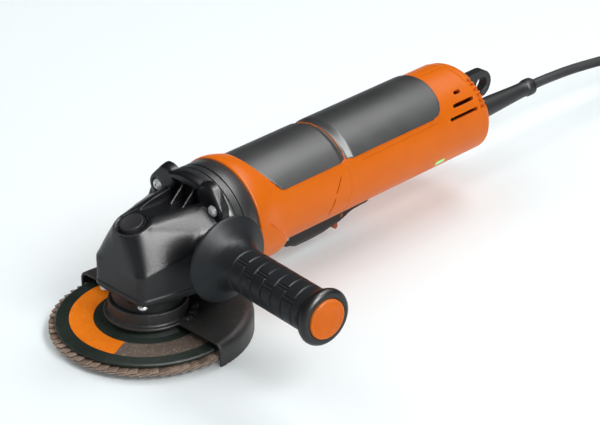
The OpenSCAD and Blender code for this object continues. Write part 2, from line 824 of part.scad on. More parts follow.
module rotor_shaft() {
    pinion_end_x = pinion_back_x + 8;
    color("#a7aaad") x_turned([
        [13, 0], [13, pinion_shaft_d / 2 - 1.6], [pinion_end_x, pinion_shaft_d / 2 - 1.6],
        [pinion_end_x, rotor_d / 2], [front_bearing_end_x + 2, rotor_d / 2],
        [front_bearing_end_x + 2, rotor_d / 2 - 1], [rear_bearing_x - 2, rotor_d / 2 - 1],
        [rear_bearing_x - 2, rear_journal_d / 2],
        [rear_bearing_x + rear_bearing_h + 1, rear_journal_d / 2],
        [rear_bearing_x + rear_bearing_h + 1, 0]
    ]);
}

// Radial fan: a disc with blades on its front face
module fan() {
    hub_r = 9;
    color("#3a3c40") on_axis(fan_x) difference() {
        union() {
            translate([0, 0, fan_h - 2]) cylinder(h = 2, d = fan_d);
            cylinder(h = fan_h, r = hub_r);
            for (i = [0 : 8]) rotate([0, 0, 40 * i]) translate([hub_r - 1, -0.7, 1])
                rotate([0, 0, 18]) cube([fan_d / 2 - hub_r - 1, 1.4, fan_h - 2]);
        }
        translate([0, 0, -1]) cylinder(h = 20, d = rotor_d - 2);
    }
}

module rotor_core() {
    color("#6d7074") difference() {
        x_bar(stator_x, stator_len, core_d);
        x_bar(stator_x - 1, stator_len + 2, rotor_d - 2);
    }
}

module rotor_magnets() {
    color("#4b4d52") difference() {
        x_bar(stator_x + stator_len + 1, 5, core_d - 6);
        x_bar(stator_x + stator_len, 10, rotor_d - 2);
    }
}

// Laminated ring with the ends of its windings at both sides
module stator() {
    color("#b06a35") difference() {
        union() {
            x_bar(stator_x, stator_len, stator_d);
            x_bar(stator_x - winding_len, stator_len + 2 * winding_len, stator_d - 5);
        }
        x_bar(stator_x - 10, stator_len + 20, core_d + 2 * air_gap);
    }
}

// ---------- motor housing and handle ----------

// Rounded rear end, which leans forward; wider than the barrel in front of it
module rear_cap() {
    steps = 8;
    start_x = joint_x - 90;
    skin_r = barrel_r + 0.6;
    translate([rear_x, 0, axis_z]) rotate([0, -rear_lean, 0]) translate([-rear_x, 0, -axis_z])
        x_turned(concat(
        [[start_x, 0], [start_x, 110]],
        [
            for (i = [0 : steps]) let (a = 90 * i / steps)
                [rear_x - rear_round_x * (1 - sin(a)), skin_r - rear_round_r * (1 - cos(a))]
        ],
        [[rear_x, 0]]
    ));
}

// Rear edge of the front collar, which runs further back at the bottom
module collar_foot() {
    intersection() {
        x_turned([
            [housing_x, 0], [housing_x, collar_d / 2], [foot_end_x - 8, collar_d / 2],
            [foot_end_x - 6, collar_d / 2 - 0.6], [foot_end_x - 3, collar_d / 2 - 2.8],
            [foot_end_x, collar_d / 2 - 4.1], [foot_end_x + 5, barrel_r - 0.1], [foot_end_x + 5, 0]
        ]);
        side_profile(2 * collar_d) polygon([
            [housing_x, 0], [foot_end_x + 5, 0], [foot_end_x + 5, axis_z - barrel_r + 6],
            [housing_x + 8, axis_z + 4], [housing_x, axis_z + 4]
        ]);
    }
}

// Outer surface of the barrel from the front collar to the rear end
module barrel() {
    collar_foot();
    intersection() {
        x_turned([
            [housing_x, 0], [housing_x, collar_d / 2 - 0.6], [housing_x + 0.6, collar_d / 2],
            [housing_x + 4, collar_d / 2], [housing_x + 9, collar_d / 2 - 1.8],
            [collar_end_x - 3, barrel_r + 0.9], [collar_end_x + 4, barrel_r],
            [rear_x + 8, barrel_r], [rear_x + 8, 0]
        ]);
        rear_cap();
    }
}

// Side outline of the front pad; its front edge leans back and its rear edge is upright
module front_pad_outline() {
    lean = 0.6 * (barrel_r - barrel_r * sin(pad_angle));
    hull() {
        translate([front_pad_x + lean + 6, pad_edge_z + 5]) circle(r = 5, $fn = facets);
        translate([front_pad_end_x - 1, pad_edge_z]) square([1, 5]);
        translate([front_pad_x - 3, axis_z + barrel_r + 4])
            square([front_pad_end_x - front_pad_x + 3, 1]);
    }
}

// Side outline of the rear pad, with a wide rounded rear corner
module rear_pad_outline() {
    hull() {
        translate([rear_pad_x, pad_edge_z]) square([1, 5]);
        translate([rear_pad_end_x - 14, pad_edge_z + 12]) circle(r = 12, $fn = facets);
        translate([rear_pad_x, axis_z + barrel_r + 4])
            square([rear_pad_end_x - rear_pad_x + 1, 1]);
    }
}

// Hollow round both pads where they meet
module pad_waist() {
    waist_r = pad_under_r + 1;
    x_turned([
        [joint_x - 5, pad_top_r], [joint_x - 2, waist_r], [joint_x + 2, waist_r],
        [joint_x + 6, pad_top_r], [joint_x + 6, barrel_d], [joint_x - 5, barrel_d]
    ]);
}

// Part of the barrel's skin that a pad covers
module pad_skin(outer_r) {
    intersection() {
        difference() {
            x_bar(housing_x, rear_x - housing_x, 2 * outer_r);
            x_bar(housing_x - 1, rear_x, 2 * pad_under_r);
        }
        side_profile(2 * barrel_d) children();
    }
}

// Opening under the barrel that the paddle moves in, up to height top_z
module paddle_slot(top_z) {
    gap = 0.6;
    translate([paddle_pivot_x - 7.5, -paddle_w / 2 - gap, 0])
        cube([paddle_end_x - paddle_pivot_x + 12, paddle_w + 2 * gap, top_z]);
}

// Two narrow slits in line on the side of the barrel, s = -1 on the operator's left
module side_slits(s) {
    for (q = [[137.5, 66.5, 132.6, 56.6], [131.4, 53.2, 128.2, 40]]) {
        dx = q[2] - q[0];
        dz = q[3] - q[1];
        translate([q[0], s * barrel_r, q[1]]) rotate([0, atan2(dx, dz), 0])
            translate([-slit_w / 2, -slit_depth, 0]) cube([slit_w, 2 * slit_depth, norm([dx, dz])]);
    }
}

module motor_housing() {
    color("#f07314") difference() {
        union() {
            difference() {
                intersection() {
                    barrel();
                    translate([0, -100, -100]) cube([joint_x, 200, 300]);
                }
                pad_skin(barrel_d) front_pad_outline();
                paddle_slot(paddle_slot_z);
            }
            paddle_ears();
        }
        x_bar(housing_x - 1, motor_web_x - housing_x + 1, stator_d);
        x_bar(motor_web_end_x, 60, stator_d);
        x_bar(housing_x, joint_x, rear_journal_d + 8);
        x_bar(rear_bearing_x, 60, rear_bearing_d);
        for (a = [45 : 90 : 315]) on_axis(motor_web_x - 1) rotate([0, 0, a])
            translate([18.5, 0, 0]) cylinder(h = 30, d = 10);
        for (s = [-1, 1], t = [-1, 1])
            translate([flange_x, s * flange_screw_y, axis_z + t * flange_screw_z])
                rotate([0, 90, 0]) cylinder(h = housing_x + 8 - flange_x, d = flange_screw_d);
        paddle_pin_bar(paddle_w, paddle_pin_d);
        for (s = [-1, 1]) side_slits(s);
    }
}

module front_grip_pad() {
    color("#3b3d40") difference() {
        pad_skin(pad_top_r) front_pad_outline();
        pad_waist();
    }
}

module rear_grip_pad() {
    color("#3b3d40") difference() {
        pad_skin(pad_top_r) rear_pad_outline();
        pad_waist();
    }
}

// Whole rear handle before it is parted at its middle plane
module handle_solid() {
    post_r = 4.5;
    difference() {
        union() {
            difference() {
                intersection() {
                    barrel();
                    translate([joint_x, -100, -100]) cube([rear_x, 200, 300]);
                }
                x_turned([
                    [joint_x - 1, 0], [joint_x - 1, barrel_r - shell_t],
                    [rear_x - rear_round_x - 2, barrel_r - shell_t],
                    [cavity_end_x, barrel_r - shell_t - rear_round_r + 3], [cavity_end_x, 0]
                ]);
                pad_skin(barrel_d) rear_pad_outline();
                paddle_slot(shell_slot_z);
            }
            // Posts for the screws, the electronics and the switch
            intersection() {
                x_bar(joint_x, rear_x - joint_x - 1, barrel_d - shell_t);
                union() {
                    for (p = handle_screw_places) translate([p[0], -40, p[1]])
                        rotate([-90, 0, 0]) cylinder(h = 80, r = post_r);
                    for (x = [electronics_x + 12, electronics_end_x - 12])
                        translate([x, -40, axis_z]) rotate([-90, 0, 0]) cylinder(h = 80, r = post_r);
                    translate([switch_x + 12, -40, axis_z - 10])
                        rotate([-90, 0, 0]) cylinder(h = 80, r = post_r);
                }
            }
        }
        electronics_box();
        switch_box();
        // Screw bores, entered from the right
        for (p = handle_screw_places) translate([p[0], -12, p[1]]) rotate([-90, 0, 0]) {
            cylinder(h = 60, d = 3);
            translate([0, 0, 12 + handle_screw_y]) cylinder(h = 40, d = 6.6);
        }
        // Air vents on both sides: long slots, and a comb of notches round the rear corner
        for (m = [0, 1]) mirror([0, m, 0]) {
            for (v = vent_places) vent(v[0], v[1], v[2], 14);
            for (i = [0 : notch_count - 1])
                vent(vent_places[0][0] + notch_pitch * i, rear_x - 12.5, 20, 11.5);
        }
        // Seats of the hanging eye and the strain relief
        eye_arm();
        boot_bar(cavity_end_x, 20, boot_d);
        boot_bar(cavity_end_x - 6, 6, boot_d + 3);
        lens_block();
    }
}

// Slot from x over a length, at an angle above the level on the operator's left, cut from outside
module vent(angle, x, len, depth) {
    on_axis(x) rotate([0, 0, -angle]) translate([0, -barrel_r - 5, 0]) rotate([-90, -90, 0])
        linear_extrude(depth) {
            translate([vent_w / 2, -vent_w / 2]) square([len - vent_w, vent_w]);
            for (t = [vent_w / 2, len - vent_w / 2]) translate([t, 0]) circle(d = vent_w);
        }
}

module handle_shell_left() {
    color("#f07314") intersection() {
        handle_solid();
        translate([0, -100, -100]) cube([400, 100, 300]);
    }
}

module handle_shell_right() {
    color("#f07314") intersection() {
        handle_solid();
        translate([0, 0, -100]) cube([400, 100, 300]);
    }
}

module handle_screws() {
    color("#2c2d30")
        for (p = handle_screw_places) translate([p[0], handle_screw_y, p[1]])
            rotate([-90, 0, 0]) pan_screw(3, 6, 2.4, handle_screw_y + 12);
}

// Space that the electronics module fills
module electronics_box() {
    translate([electronics_x, -17, axis_z - 11])
        cube([electronics_end_x - electronics_x, 34, 27]);
}

module electronics_module() {
    color("#1d5a38") electronics_box();
}

// Space that the switch fills
module switch_box() {
    translate([switch_x, -switch_w / 2, shell_slot_z + 0.1]) cube([switch_len, switch_w, switch_h]);
}

module switch_block() {
    color("#16171a") union() {
        switch_box();
        translate([plunger_x, 0, paddle_slot_z + 1.2]) cylinder(h = 3, d = 6);
    }
}

// Light window low on the operator's left
module lens_block() {
    on_axis(232.5) rotate([0, 0, 34]) translate([-1.6, -barrel_r - 0.3, 0]) cube([3.2, 2, 8]);
}

module status_lens() {
    color("#5fe08a") lens_block();
}

// ---------- paddle switch ----------

// Bar along Y through the paddle's pivot
module paddle_pin_bar(len, d) {
    translate([paddle_pivot_x, -len / 2, paddle_pivot_z]) rotate([-90, 0, 0]) cylinder(h = len, d = d);
}

module paddle_pin() {
    color("#a7aaad") paddle_pin_bar(paddle_w - 1, paddle_pin_d);
}

// Places its children at the middle of each of the two ears that carry the paddle
module at_ears() {
    for (s = [-1, 1]) translate([paddle_pivot_x, s * (paddle_w / 2 - paddle_wall - 0.3 - ear_t / 2), 0])
        children();
}

// Ears under the barrel for the paddle's pin
module paddle_ears() {
    at_ears() {
        translate([0, ear_t / 2, paddle_pivot_z]) rotate([90, 0, 0]) cylinder(h = ear_t, r = ear_r);
        translate([-ear_r, -ear_t / 2, paddle_pivot_z])
            cube([2 * ear_r, ear_t, paddle_slot_z - paddle_pivot_z + 0.8]);
    }
}

// Side outline of the paddle; its underside is lowest under the fingers' first joints
module paddle_outline() {
    px = paddle_pivot_x;
    polygon([
        [px - 6.6, paddle_top_z - 1.5], [px - 6.6, paddle_z + 12.4], [px - 4.4, paddle_z + 10],
        [px - 1, paddle_z + 8], [px + 2.5, paddle_z + 7.2], [px + 6, paddle_z + 5.2],
        [px + 12, paddle_z + 1.8], [px + 19, paddle_z], [px + 23, paddle_z + 0.4],
        [px + 27, paddle_z + 1.6], [px + 33, paddle_z + 3.6], [px + 40, paddle_z + 6.4],
        [px + 48, paddle_z + 7.7], [px + 56, paddle_z + 11.2], [px + 61, paddle_z + 12.3],
        [paddle_end_x - 2.5, paddle_z + 12.6], [paddle_end_x, paddle_z + 13.4],
        [paddle_end_x, paddle_top_z - 1], [px + 58, paddle_top_z - 1], [px + 54, paddle_top_z],
        [px + 6, paddle_top_z], [px + 3, paddle_top_z + 2.2], [px - 3, paddle_top_z + 2.2]
    ]);
}

// Side outline of the space inside the paddle
module paddle_space_outline() {
    px = paddle_pivot_x;
    z = paddle_z;
    polygon([
        [px - 4.4, 60], [px - 4.4, paddle_pivot_z - 1.4], [px - 2.3, paddle_pivot_z - 3.4],
        [px + 0.5, paddle_pivot_z - 4.1], [px + 4, z + 9.1], [px + 8, z + 6.9], [px + 13, z + 4.2],
        [px + 19, z + 2.6], [px + 24, z + 3.1], [px + 28, z + 4.4], [px + 34, z + 6.6],
        [px + 40.5, z + 9.2], [px + 48, z + 10.4], [px + 54, z + 13], [px + 57, z + 14.4],
        [px + 57, 60]
    ]);
}

// Long lever with a rounded underside, hollow from above
module paddle() {
    round_r = paddle_w / 2 - 1;
    color("#17181a") difference() {
        intersection() {
            side_profile(paddle_w) paddle_outline();
            translate([paddle_pivot_x - 10, 0, 0]) rotate([90, 0, 90])
                linear_extrude(paddle_end_x - paddle_pivot_x + 20) hull() {
                    for (s = [-1, 1]) translate([s, paddle_z + round_r]) circle(r = round_r, $fn = facets);
                    translate([-paddle_w / 2, paddle_z + 14]) square([paddle_w, 6]);
                }
        }
        difference() {
            side_profile(paddle_w - 2 * paddle_wall) paddle_space_outline();
            // Stiffening rib
            translate([paddle_pivot_x + 38, -paddle_w / 2, 0]) cube([1.6, paddle_w, paddle_z + 13]);
        }
        paddle_pin_bar(paddle_w + 2, paddle_pin_d + 2 * running_gap);
        // Way for the lock-off lever
        translate([lock_off_x - 8, -lock_off_w / 2 - 0.3, 0])
            cube([14, lock_off_w + 0.6, lock_off_z + 4]);
        lock_off_pins(lock_pin_bar_d + 2 * running_gap, paddle_w + 2);
    }
}

module paddle_spring() {
    z = paddle_z + paddle_wall + 1.8;
    color("#9a9c9f") translate([paddle_pivot_x + 19, 0, z]) difference() {
        cylinder(h = paddle_slot_z - z, d = 9);
        translate([0, 0, -1]) cylinder(h = 30, d = 6.6);
    }
}

module lock_off_pins(d, len) {
    translate([lock_off_x, -len / 2, lock_off_z]) rotate([-90, 0, 0]) cylinder(h = len, d = d);
}

// Small lever under the paddle that has to be tipped before the paddle moves
module lock_off_lever() {
    color("#a8521c") union() {
        lock_off_pins(lock_pin_bar_d, paddle_w - 1);
        side_profile(lock_off_w) {
            translate([lock_off_x, lock_off_z]) circle(r = 3.4);
            hull() {
                translate([lock_off_x, lock_off_z]) circle(r = 2.6, $fn = facets);
                translate([lock_off_x + 2.2, lock_off_tip_z + 1.8]) circle(r = 1.8, $fn = facets);
            }
        }
    }
}

// ---------- hanging eye and strain relief ----------

// Arm that holds the eye in the rear of the handle
module eye_arm() {
    inside = 10;
    translate([rear_x - inside, -eye_t / 2, eye_z + 3])
        cube([eye_x - rear_x + inside, eye_t, eye_d / 2 - 3]);
}

module hanging_eye() {
    color("#1a1b1d") difference() {
        union() {
            translate([eye_x, eye_t / 2, eye_z]) rotate([90, 0, 0]) cylinder(h = eye_t, d = eye_d);
            eye_arm();
        }
        translate([eye_x, eye_t, eye_z]) rotate([90, 0, 0]) cylinder(h = 2 * eye_t, d = eye_bore_d);
    }
}

module boot_bar(x, len, d) {
    translate([x, 0, lead_z]) rotate([0, 90, 0]) cylinder(h = len, d = d);
}

module strain_relief() {
    tip_d = boot_d - 5;
    color("#1a1b1d") translate([0, 0, lead_z]) rotate([0, 90, 0]) rotate_extrude() polygon([
        [0, cavity_end_x - 6], [boot_d / 2 + 1.5, cavity_end_x - 6], [boot_d / 2 + 1.5, cavity_end_x],
        [boot_d / 2, cavity_end_x], [boot_d / 2, rear_x + 4], [tip_d / 2, boot_end_x - 8],
        [tip_d / 2 + 0.8, boot_end_x - 7], [tip_d / 2 + 0.8, boot_end_x - 1],
        [tip_d / 2, boot_end_x], [0, boot_end_x]
    ]);
}

// ---------- side handle ----------

module side_handle_stud() {
    color("#c9ccd0") on_handle() translate([0, 0, stud_in_y])
        cylinder(h = stud_out_y - stud_in_y, d = stud_d);
}

// Hard core that carries the stud and turns up against the boss
module side_handle_core() {
    core_end_y = grip_end_y - cap_seat;
    seat_r = boss_d / 2;
    neck_y = bell_y + 10;
    color("#2b2c2f") on_handle() rotate_extrude() polygon([
        [stud_d / 2, boss_y], [seat_r - 0.5, boss_y], [seat_r + 0.5, boss_y + 2],
        [seat_r + 0.5, neck_y], [core_r, neck_y], [core_r, core_end_y], [0, core_end_y],
        [0, stud_out_y], [stud_d / 2, stud_out_y]
    ]);
}

// Outline of one groove round the grip, between its two edges
function groove(y, r) = [[r, y], [r - groove_depth, y + 0.25], [r - groove_depth, y + 0.85], [r, y + 1.1]];

// Soft grip with the flared hand guard at its inner end and a rim at its outer end
module side_handle_grip() {
    bell_r = bell_d / 2;
    grip_r = grip_d / 2;
    rim_r = grip_rim_d / 2;
    seat_r = boss_d / 2;
    neck_y = bell_y + 10;
    color("#2e3033") on_handle() rotate_extrude() polygon(concat(
        [
            [bell_r - 2, bell_y], [bell_r - 0.5, bell_y + 0.3], [bell_r, bell_y + 1.2],
            [bell_r - 0.5, bell_y + 2.2], [bell_r - 3, bell_y + 3.6], [bell_r - 6.2, bell_y + 5.7],
            [grip_r + 4.6, bell_y + 7.7], [grip_r + 2.7, bell_y + 10], [grip_r + 1.2, bell_y + 13],
            [grip_r + 0.3, bell_y + 17]
        ],
        [
            for (i = [0 : groove_count - 1])
                each groove(groove_y + (groove_end_y - groove_y) * i / (groove_count - 1), grip_r)
        ],
        [
            [grip_r + 0.2, grip_end_y - 12], [grip_r + 1.4, grip_end_y - 8.8],
            [rim_r - 0.8, grip_end_y - 6], [rim_r, grip_end_y - 4.2], [rim_r, grip_end_y - 2.6],
            [rim_r - 0.8, grip_end_y - 1], [rim_r - 2.4, grip_end_y], [cap_d / 2, grip_end_y],
            [cap_d / 2, grip_end_y - cap_seat], [core_r, grip_end_y - cap_seat], [core_r, neck_y],
            [seat_r + 0.5, neck_y], [seat_r + 3, bell_y + 7], [seat_r + 7.4, bell_y + 4],
            [bell_r - 6, bell_y + 2.2]
        ]
    ));
}

module side_handle_cap() {
    color("#f07314") on_handle() rotate_extrude() polygon([
        [0, grip_end_y - cap_seat], [cap_d / 2, grip_end_y - cap_seat],
        [cap_d / 2, handle_end_y - 0.9], [cap_d / 2 - 0.9, handle_end_y - 0.2],
        [cap_d / 2 - 2.4, handle_end_y], [0, handle_end_y]
    ]);
}

// ---------- lead ----------

function unit(v) = v / norm(v);

// Direction of a route at point i
function heading(route, i) =
    unit(route[min(i + 1, len(route) - 1)] - route[max(i - 1, 0)]);

// Round tube swept along a route that never runs straight up
module swept_tube(route, d) {
    sides = 8;
    n = len(route);
    rings = [
        for (i = [0 : n - 1])
            let (t = heading(route, i), side = unit(cross([0, 0, 1], t)), up = cross(t, side))
                for (k = [0 : sides - 1])
                    let (a = 360 * k / sides + 22.5)
                        route[i] + d / 2 * (cos(a) * side + sin(a) * up)
    ];
    polyhedron(
        points = rings,
        faces = concat(
            [[for (k = [0 : sides - 1]) sides - 1 - k]],
            [[for (k = [0 : sides - 1]) (n - 1) * sides + k]],
            [
                for (i = [0 : n - 2], k = [0 : sides - 1])
                    let (k2 = (k + 1) % sides)
                        [i * sides + k, i * sides + k2, (i + 1) * sides + k2, (i + 1) * sides + k]
            ]
        )
    );
}

module lead_tube() {
    color("#202124") swept_tube(lead_route, lead_d);
}

module lead_coil() {
    color("#202124") translate([coil_x, coil_y, 0]) rotate_extrude()
        translate([coil_r_in, 0]) square([coil_r_out - coil_r_in, coil_h]);
}

// Band over the coil
module coil_tie() {
    color("#101113") translate([coil_x, coil_y, 0]) rotate([0, 0, 150]) difference() {
        translate([coil_r_in - 1, -5, 0]) cube([coil_r_out - coil_r_in + 2, 10, coil_h + 1]);
        intersection() {
            translate([0, -6, -1]) cube([coil_r_out + 10, 12, coil_h + 1]);
            difference() {
                cylinder(h = 3 * coil_h, r = coil_r_out, center = true);
                cylinder(h = 4 * coil_h, r = coil_r_in, center = true);
            }
        }
    }
}

module lead_tail() {
    color("#202124") swept_tube(tail_route, lead_d);
}

// Two-pin contour plug lying on the coil
module plug_body() {
    neck_len = 13;
    face_len = 23;
    color("#202124") translate([plug_x, plug_y, plug_z]) rotate([90, 0, 0]) {
        cylinder(h = neck_len, r1 = 4.6, r2 = 6.5);
        hull() {
            translate([0, 0, neck_len - 1]) cylinder(h = 1, r = 8, $fn = facets);
            for (s = [-1, 1]) translate([s * 5.5, 0, plug_len - face_len])
                cylinder(h = face_len, r = 13, $fn = facets);
        }
    }
}

module plug_pins() {
    shaft_len = 17;
    tip_len = 2;
    color("#c9ccd0") for (s = [-1, 1]) translate([plug_x + s * pin_pitch / 2, plug_y - plug_len, plug_z])
        rotate([90, 0, 0]) {
            cylinder(h = shaft_len, d = pin_d);
            translate([0, 0, shaft_len]) cylinder(h = tip_len, d1 = pin_d, d2 = pin_d - 1.8);
        }
}

// Places the whole tool about the middle of its standing area
module placed() {
    translate([-mid_x, -mid_y, 0]) children();
}

placed() gear_case();
placed() gear_case_screws();
placed() case_bush();
placed() lock_button();
placed() lock_button_spring();
placed() bearing_flange();
placed() bearing_flange_screws();
placed() spindle_bearing();
placed() spindle();
placed() crown_wheel();
placed() inner_flange();
placed() clamping_nut();
placed() disc_backing();
placed() disc_flaps();
placed() disc_label();
placed() guard();
placed() gearbox_plate();
placed() front_motor_bearing();
placed() pinion();
placed() rotor_shaft();
placed() fan();
placed() rotor_core();
placed() rotor_magnets();
placed() stator();
placed() rear_motor_bearing();
placed() motor_housing();
placed() front_grip_pad();
placed() handle_shell_left();
placed() handle_shell_right();
placed() handle_screws();
placed() rear_grip_pad();
placed() electronics_module();
placed() switch_block();
placed() status_lens();
placed() paddle();
placed() paddle_pin();
placed() paddle_spring();
placed() lock_off_lever();
placed() hanging_eye();
placed() strain_relief();
placed() side_handle_stud();
placed() side_handle_core();
placed() side_handle_grip();
placed() side_handle_cap();
placed() lead_tube();
placed() lead_coil();
placed() coil_tie();
placed() lead_tail();
placed() plug_body();
placed() plug_pins();
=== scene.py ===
import math
from functools import partial

import bmesh
import bpy
import numpy as np
from mathutils import Matrix, Vector


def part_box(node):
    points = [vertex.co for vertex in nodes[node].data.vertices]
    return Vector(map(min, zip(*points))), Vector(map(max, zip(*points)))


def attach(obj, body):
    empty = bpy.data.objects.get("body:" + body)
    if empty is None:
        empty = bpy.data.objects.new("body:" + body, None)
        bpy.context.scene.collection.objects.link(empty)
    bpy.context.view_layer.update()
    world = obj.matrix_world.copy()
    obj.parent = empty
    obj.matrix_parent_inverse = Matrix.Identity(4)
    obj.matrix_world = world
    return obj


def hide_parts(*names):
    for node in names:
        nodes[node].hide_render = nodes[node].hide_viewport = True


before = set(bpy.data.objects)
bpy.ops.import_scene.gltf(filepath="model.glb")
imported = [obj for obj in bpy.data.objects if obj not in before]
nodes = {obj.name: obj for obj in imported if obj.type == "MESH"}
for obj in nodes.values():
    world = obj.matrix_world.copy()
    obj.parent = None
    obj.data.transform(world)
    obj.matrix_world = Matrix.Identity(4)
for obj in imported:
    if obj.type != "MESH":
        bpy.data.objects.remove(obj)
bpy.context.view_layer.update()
scene = bpy.context.scene
mm = 0.001

# the spindle's axis is where all the sizes below are measured from, in mm
spindleLow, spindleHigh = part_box("spindle")
toolX = (spindleLow.x + spindleHigh.x) / 2
toolY = (spindleLow.y + spindleHigh.y) / 2
axisHeight = 57.0  # the motor's axis above the surface


def at(x, y, z):
    return Vector((toolX + x * mm, toolY + y * mm, z * mm))


def linked(name, data):
    thing = bpy.data.objects.new(name, data)
    scene.collection.objects.link(thing)
    return thing


# ---- camera
photoView = {
    "azimuth": -44.56,
    "elevation": 28.54,
    "roll": -0.457,
    "lens": 147.2,
    "distance": 1.5914,
    "target": (131.98, 0.0, 30.67),
}


def placeCamera(view):
    turn, tip, roll = (math.radians(view[key]) for key in ("azimuth", "elevation", "roll"))
    back = Vector((math.sin(turn) * math.cos(tip), -math.cos(turn) * math.cos(tip), math.sin(tip)))
    right = Vector((math.cos(turn), math.sin(turn), 0))
    up = back.cross(right)
    across = right * math.cos(roll) + up * math.sin(roll)
    upward = up * math.cos(roll) - right * math.sin(roll)
    lens = bpy.data.cameras.new("photoCamera")
    lens.lens = view["lens"]
    lens.sensor_width = 36
    lens.clip_start, lens.clip_end = 0.05, 20
    camera = linked("photoCamera", lens)
    camera.matrix_world = Matrix.Translation(at(*view["target"]) + back * view["distance"]) @ Matrix(
        (across, upward, back)
    ).transposed().to_4x4()
    scene.camera = camera


placeCamera(photoView)
print("camera placed")

# ---- power lead: out of the boot, down and along, wound into a coil, its plug on top
leadSizes = {
    "diameter": 7.0,
    "route": [
        (361.5, 0, 43.5), (370, 0, 43.4), (380, 0, 43), (391, 0, 42.3), (402, 0, 41.4),
        (414, 0, 40.1), (426, 0, 38.5), (438, 0, 36.8), (450, 0, 35.1), (462, 0, 33.6),
        (474, 0, 32.4), (486, 0, 31.7), (496, 0, 31.5),
    ],
    "tail": [
        (514, -27.6, 41), (520.5, -35, 43.8), (523.8, -43, 46), (524.5, -52, 47.5), (524.5, -62, 48),
    ],
    "coilCentre": (496, -49.5),
    "lanes": (49.5, 42.5, 35.5, 28.5),
    "layers": 5,
    "topHeight": 31.5,
    "climb": (202, 380, 7.2),
    "turnStep": 12,
    # degrees into a turn at which a step down, up, or inwards from below and from above starts, and its share of it
    "downAt": 250, "upAt": 70, "inAt": (160, -20), "stepTurn": 40,
}


def smoothed(points, parts):
    # a curve through all the points, each stretch cut into parts
    line = [Vector(p) for p in points]
    padded = [2 * line[0] - line[1]] + line + [2 * line[-1] - line[-2]]
    out = []
    for a, b, c, d in zip(padded, padded[1:], padded[2:], padded[3:]):
        for i in range(parts):
            t = i / parts
            out.append(
                0.5 * (2 * b + (c - a) * t + (2 * a - 5 * b + 4 * c - d) * t**2 + (3 * b - a - 3 * c + d) * t**3)
            )
    out.append(line[-1])
    return out


def easeBetween(start, end, value):
    t = min(max((value - start) / (end - start), 0), 1)
    return t * t * (3 - 2 * t)


def coilPoints(sizes):
    # outer lane down, next lane up, and so on; each step down, up or inwards has its own part of the turn
    pitch = sizes["diameter"]
    steps, turn = [], 0
    for lane in range(len(sizes["lanes"])):
        down = lane % 2 == 0
        for _ in range(sizes["layers"] - 1):
            start = turn * 360 + (sizes["downAt"] if down else sizes["upAt"])
            steps.append((start, start + sizes["stepTurn"], 0, -pitch if down else pitch))
            turn += 1
        if lane < len(sizes["lanes"]) - 1:
            start = turn * 360 + sizes["inAt"][lane % 2]
            steps.append((start, start + sizes["stepTurn"], -pitch, 0))
            turn += 1 if down else 0
    climbStart, climbEnd, climbRise = sizes["climb"]
    lastTurn = (turn - 1) * 360
    steps.append((lastTurn + climbStart, lastTurn + climbEnd, 0, climbRise))
    centreX, centreY = sizes["coilCentre"]
    points = []
    for travel in range(sizes["turnStep"], lastTurn + climbEnd, sizes["turnStep"]):
        radius = sizes["lanes"][0] + sum(easeBetween(a, b, travel) * inward for a, b, inward, _ in steps)
        height = sizes["topHeight"] + sum(easeBetween(a, b, travel) * rise for a, b, _, rise in steps)
        angle = math.radians(90 - travel)
        points.append((centreX + radius * math.cos(angle), centreY + radius * math.sin(angle), height))
    return points


def makeLead(sizes):
    wound = coilPoints(sizes)
    line = smoothed(sizes["route"], 2) + [Vector(p) for p in wound] + smoothed([wound[-1]] + sizes["tail"], 3)[1:]
    line = [at(*p) for p in line]
    curve = bpy.data.curves.new("powerLead", "CURVE")
    curve.dimensions = "3D"
    curve.bevel_depth = sizes["diameter"] / 2 * mm
    curve.bevel_resolution = 5
    curve.use_fill_caps = True
    spline = curve.splines.new("POLY")
    spline.points.add(len(line) - 1)
    for point, place in zip(spline.points, line):
        point.co = (*place, 1)
    length = sum((b - a).length for a, b in zip(line, line[1:]))
    return linked("powerLead", curve), line, length


powerLead, leadLine, leadLength = makeLead(leadSizes)
print("lead is", round(leadLength, 3), "m long")


# ---- node helpers, for finishes and for Geometry Nodes
def feed(node, inputs):
    # each input takes a value, another node's output, or a list of outputs
    for key, value in inputs.items():
        socket = node.inputs[key]
        sources = value if isinstance(value, list) else [value]
        if isinstance(sources[0], bpy.types.NodeSocket):
            for source in sources:
                node.id_data.links.new(source, socket)
        else:
            socket.default_value = (*value, 1) if socket.type == "RGBA" else value
    return node


def wired(tree, kind, inputs=None, output=0, **settings):
    # a new node with its settings and inputs; gives back one of its outputs
    node = tree.nodes.new(kind)
    for key, value in settings.items():
        setattr(node, key, value)
    return feed(node, inputs or {}).outputs[output]


# ---- light, floor and backdrop
studio = {
    "worldColour": (0.94, 0.95, 0.97),
    "worldStrength": 0.30,
    "floorColour": (0.84, 0.90, 0.91),
    "floorGlow": 0.07,
    "floorRoughness": 0.9,
    "floorSpecular": 0.1,
    "floorSize": 8.0,
    "lamps": [
        # name, place and size in m, power in W, what it aims at, and what it gives
        ("slopeBox", (-0.13, -0.86, 0.90), (0.60, 0.46), 8.0, (-0.12, 0.0, 0.07), "light"),
        ("topBox", (0.72, 0.05, 1.05), (0.7, 0.5), 6.0, (0.05, 0.0, 0.06), "both"),
        ("leftBox", (-1.3, -0.3, 0.5), (0.4, 0.8), 0.9, (0.0, 0.0, 0.04), "both"),
        ("backFill", (-0.4, 0.9, 1.1), (1.2, 1.2), 7.0, (0.0, 0.0, 0.04), "light"),
        ("slopeGlint", (-0.15, -0.99, 0.73), (0.36, 0.95), 36.0, (-0.13, 0.02, 0.07), "reflection"),
        ("crownGlint", (0.20, -0.40, 1.12), (0.45, 0.45), 19.0, (-0.13, 0.02, 0.07), "reflection"),
    ],
}


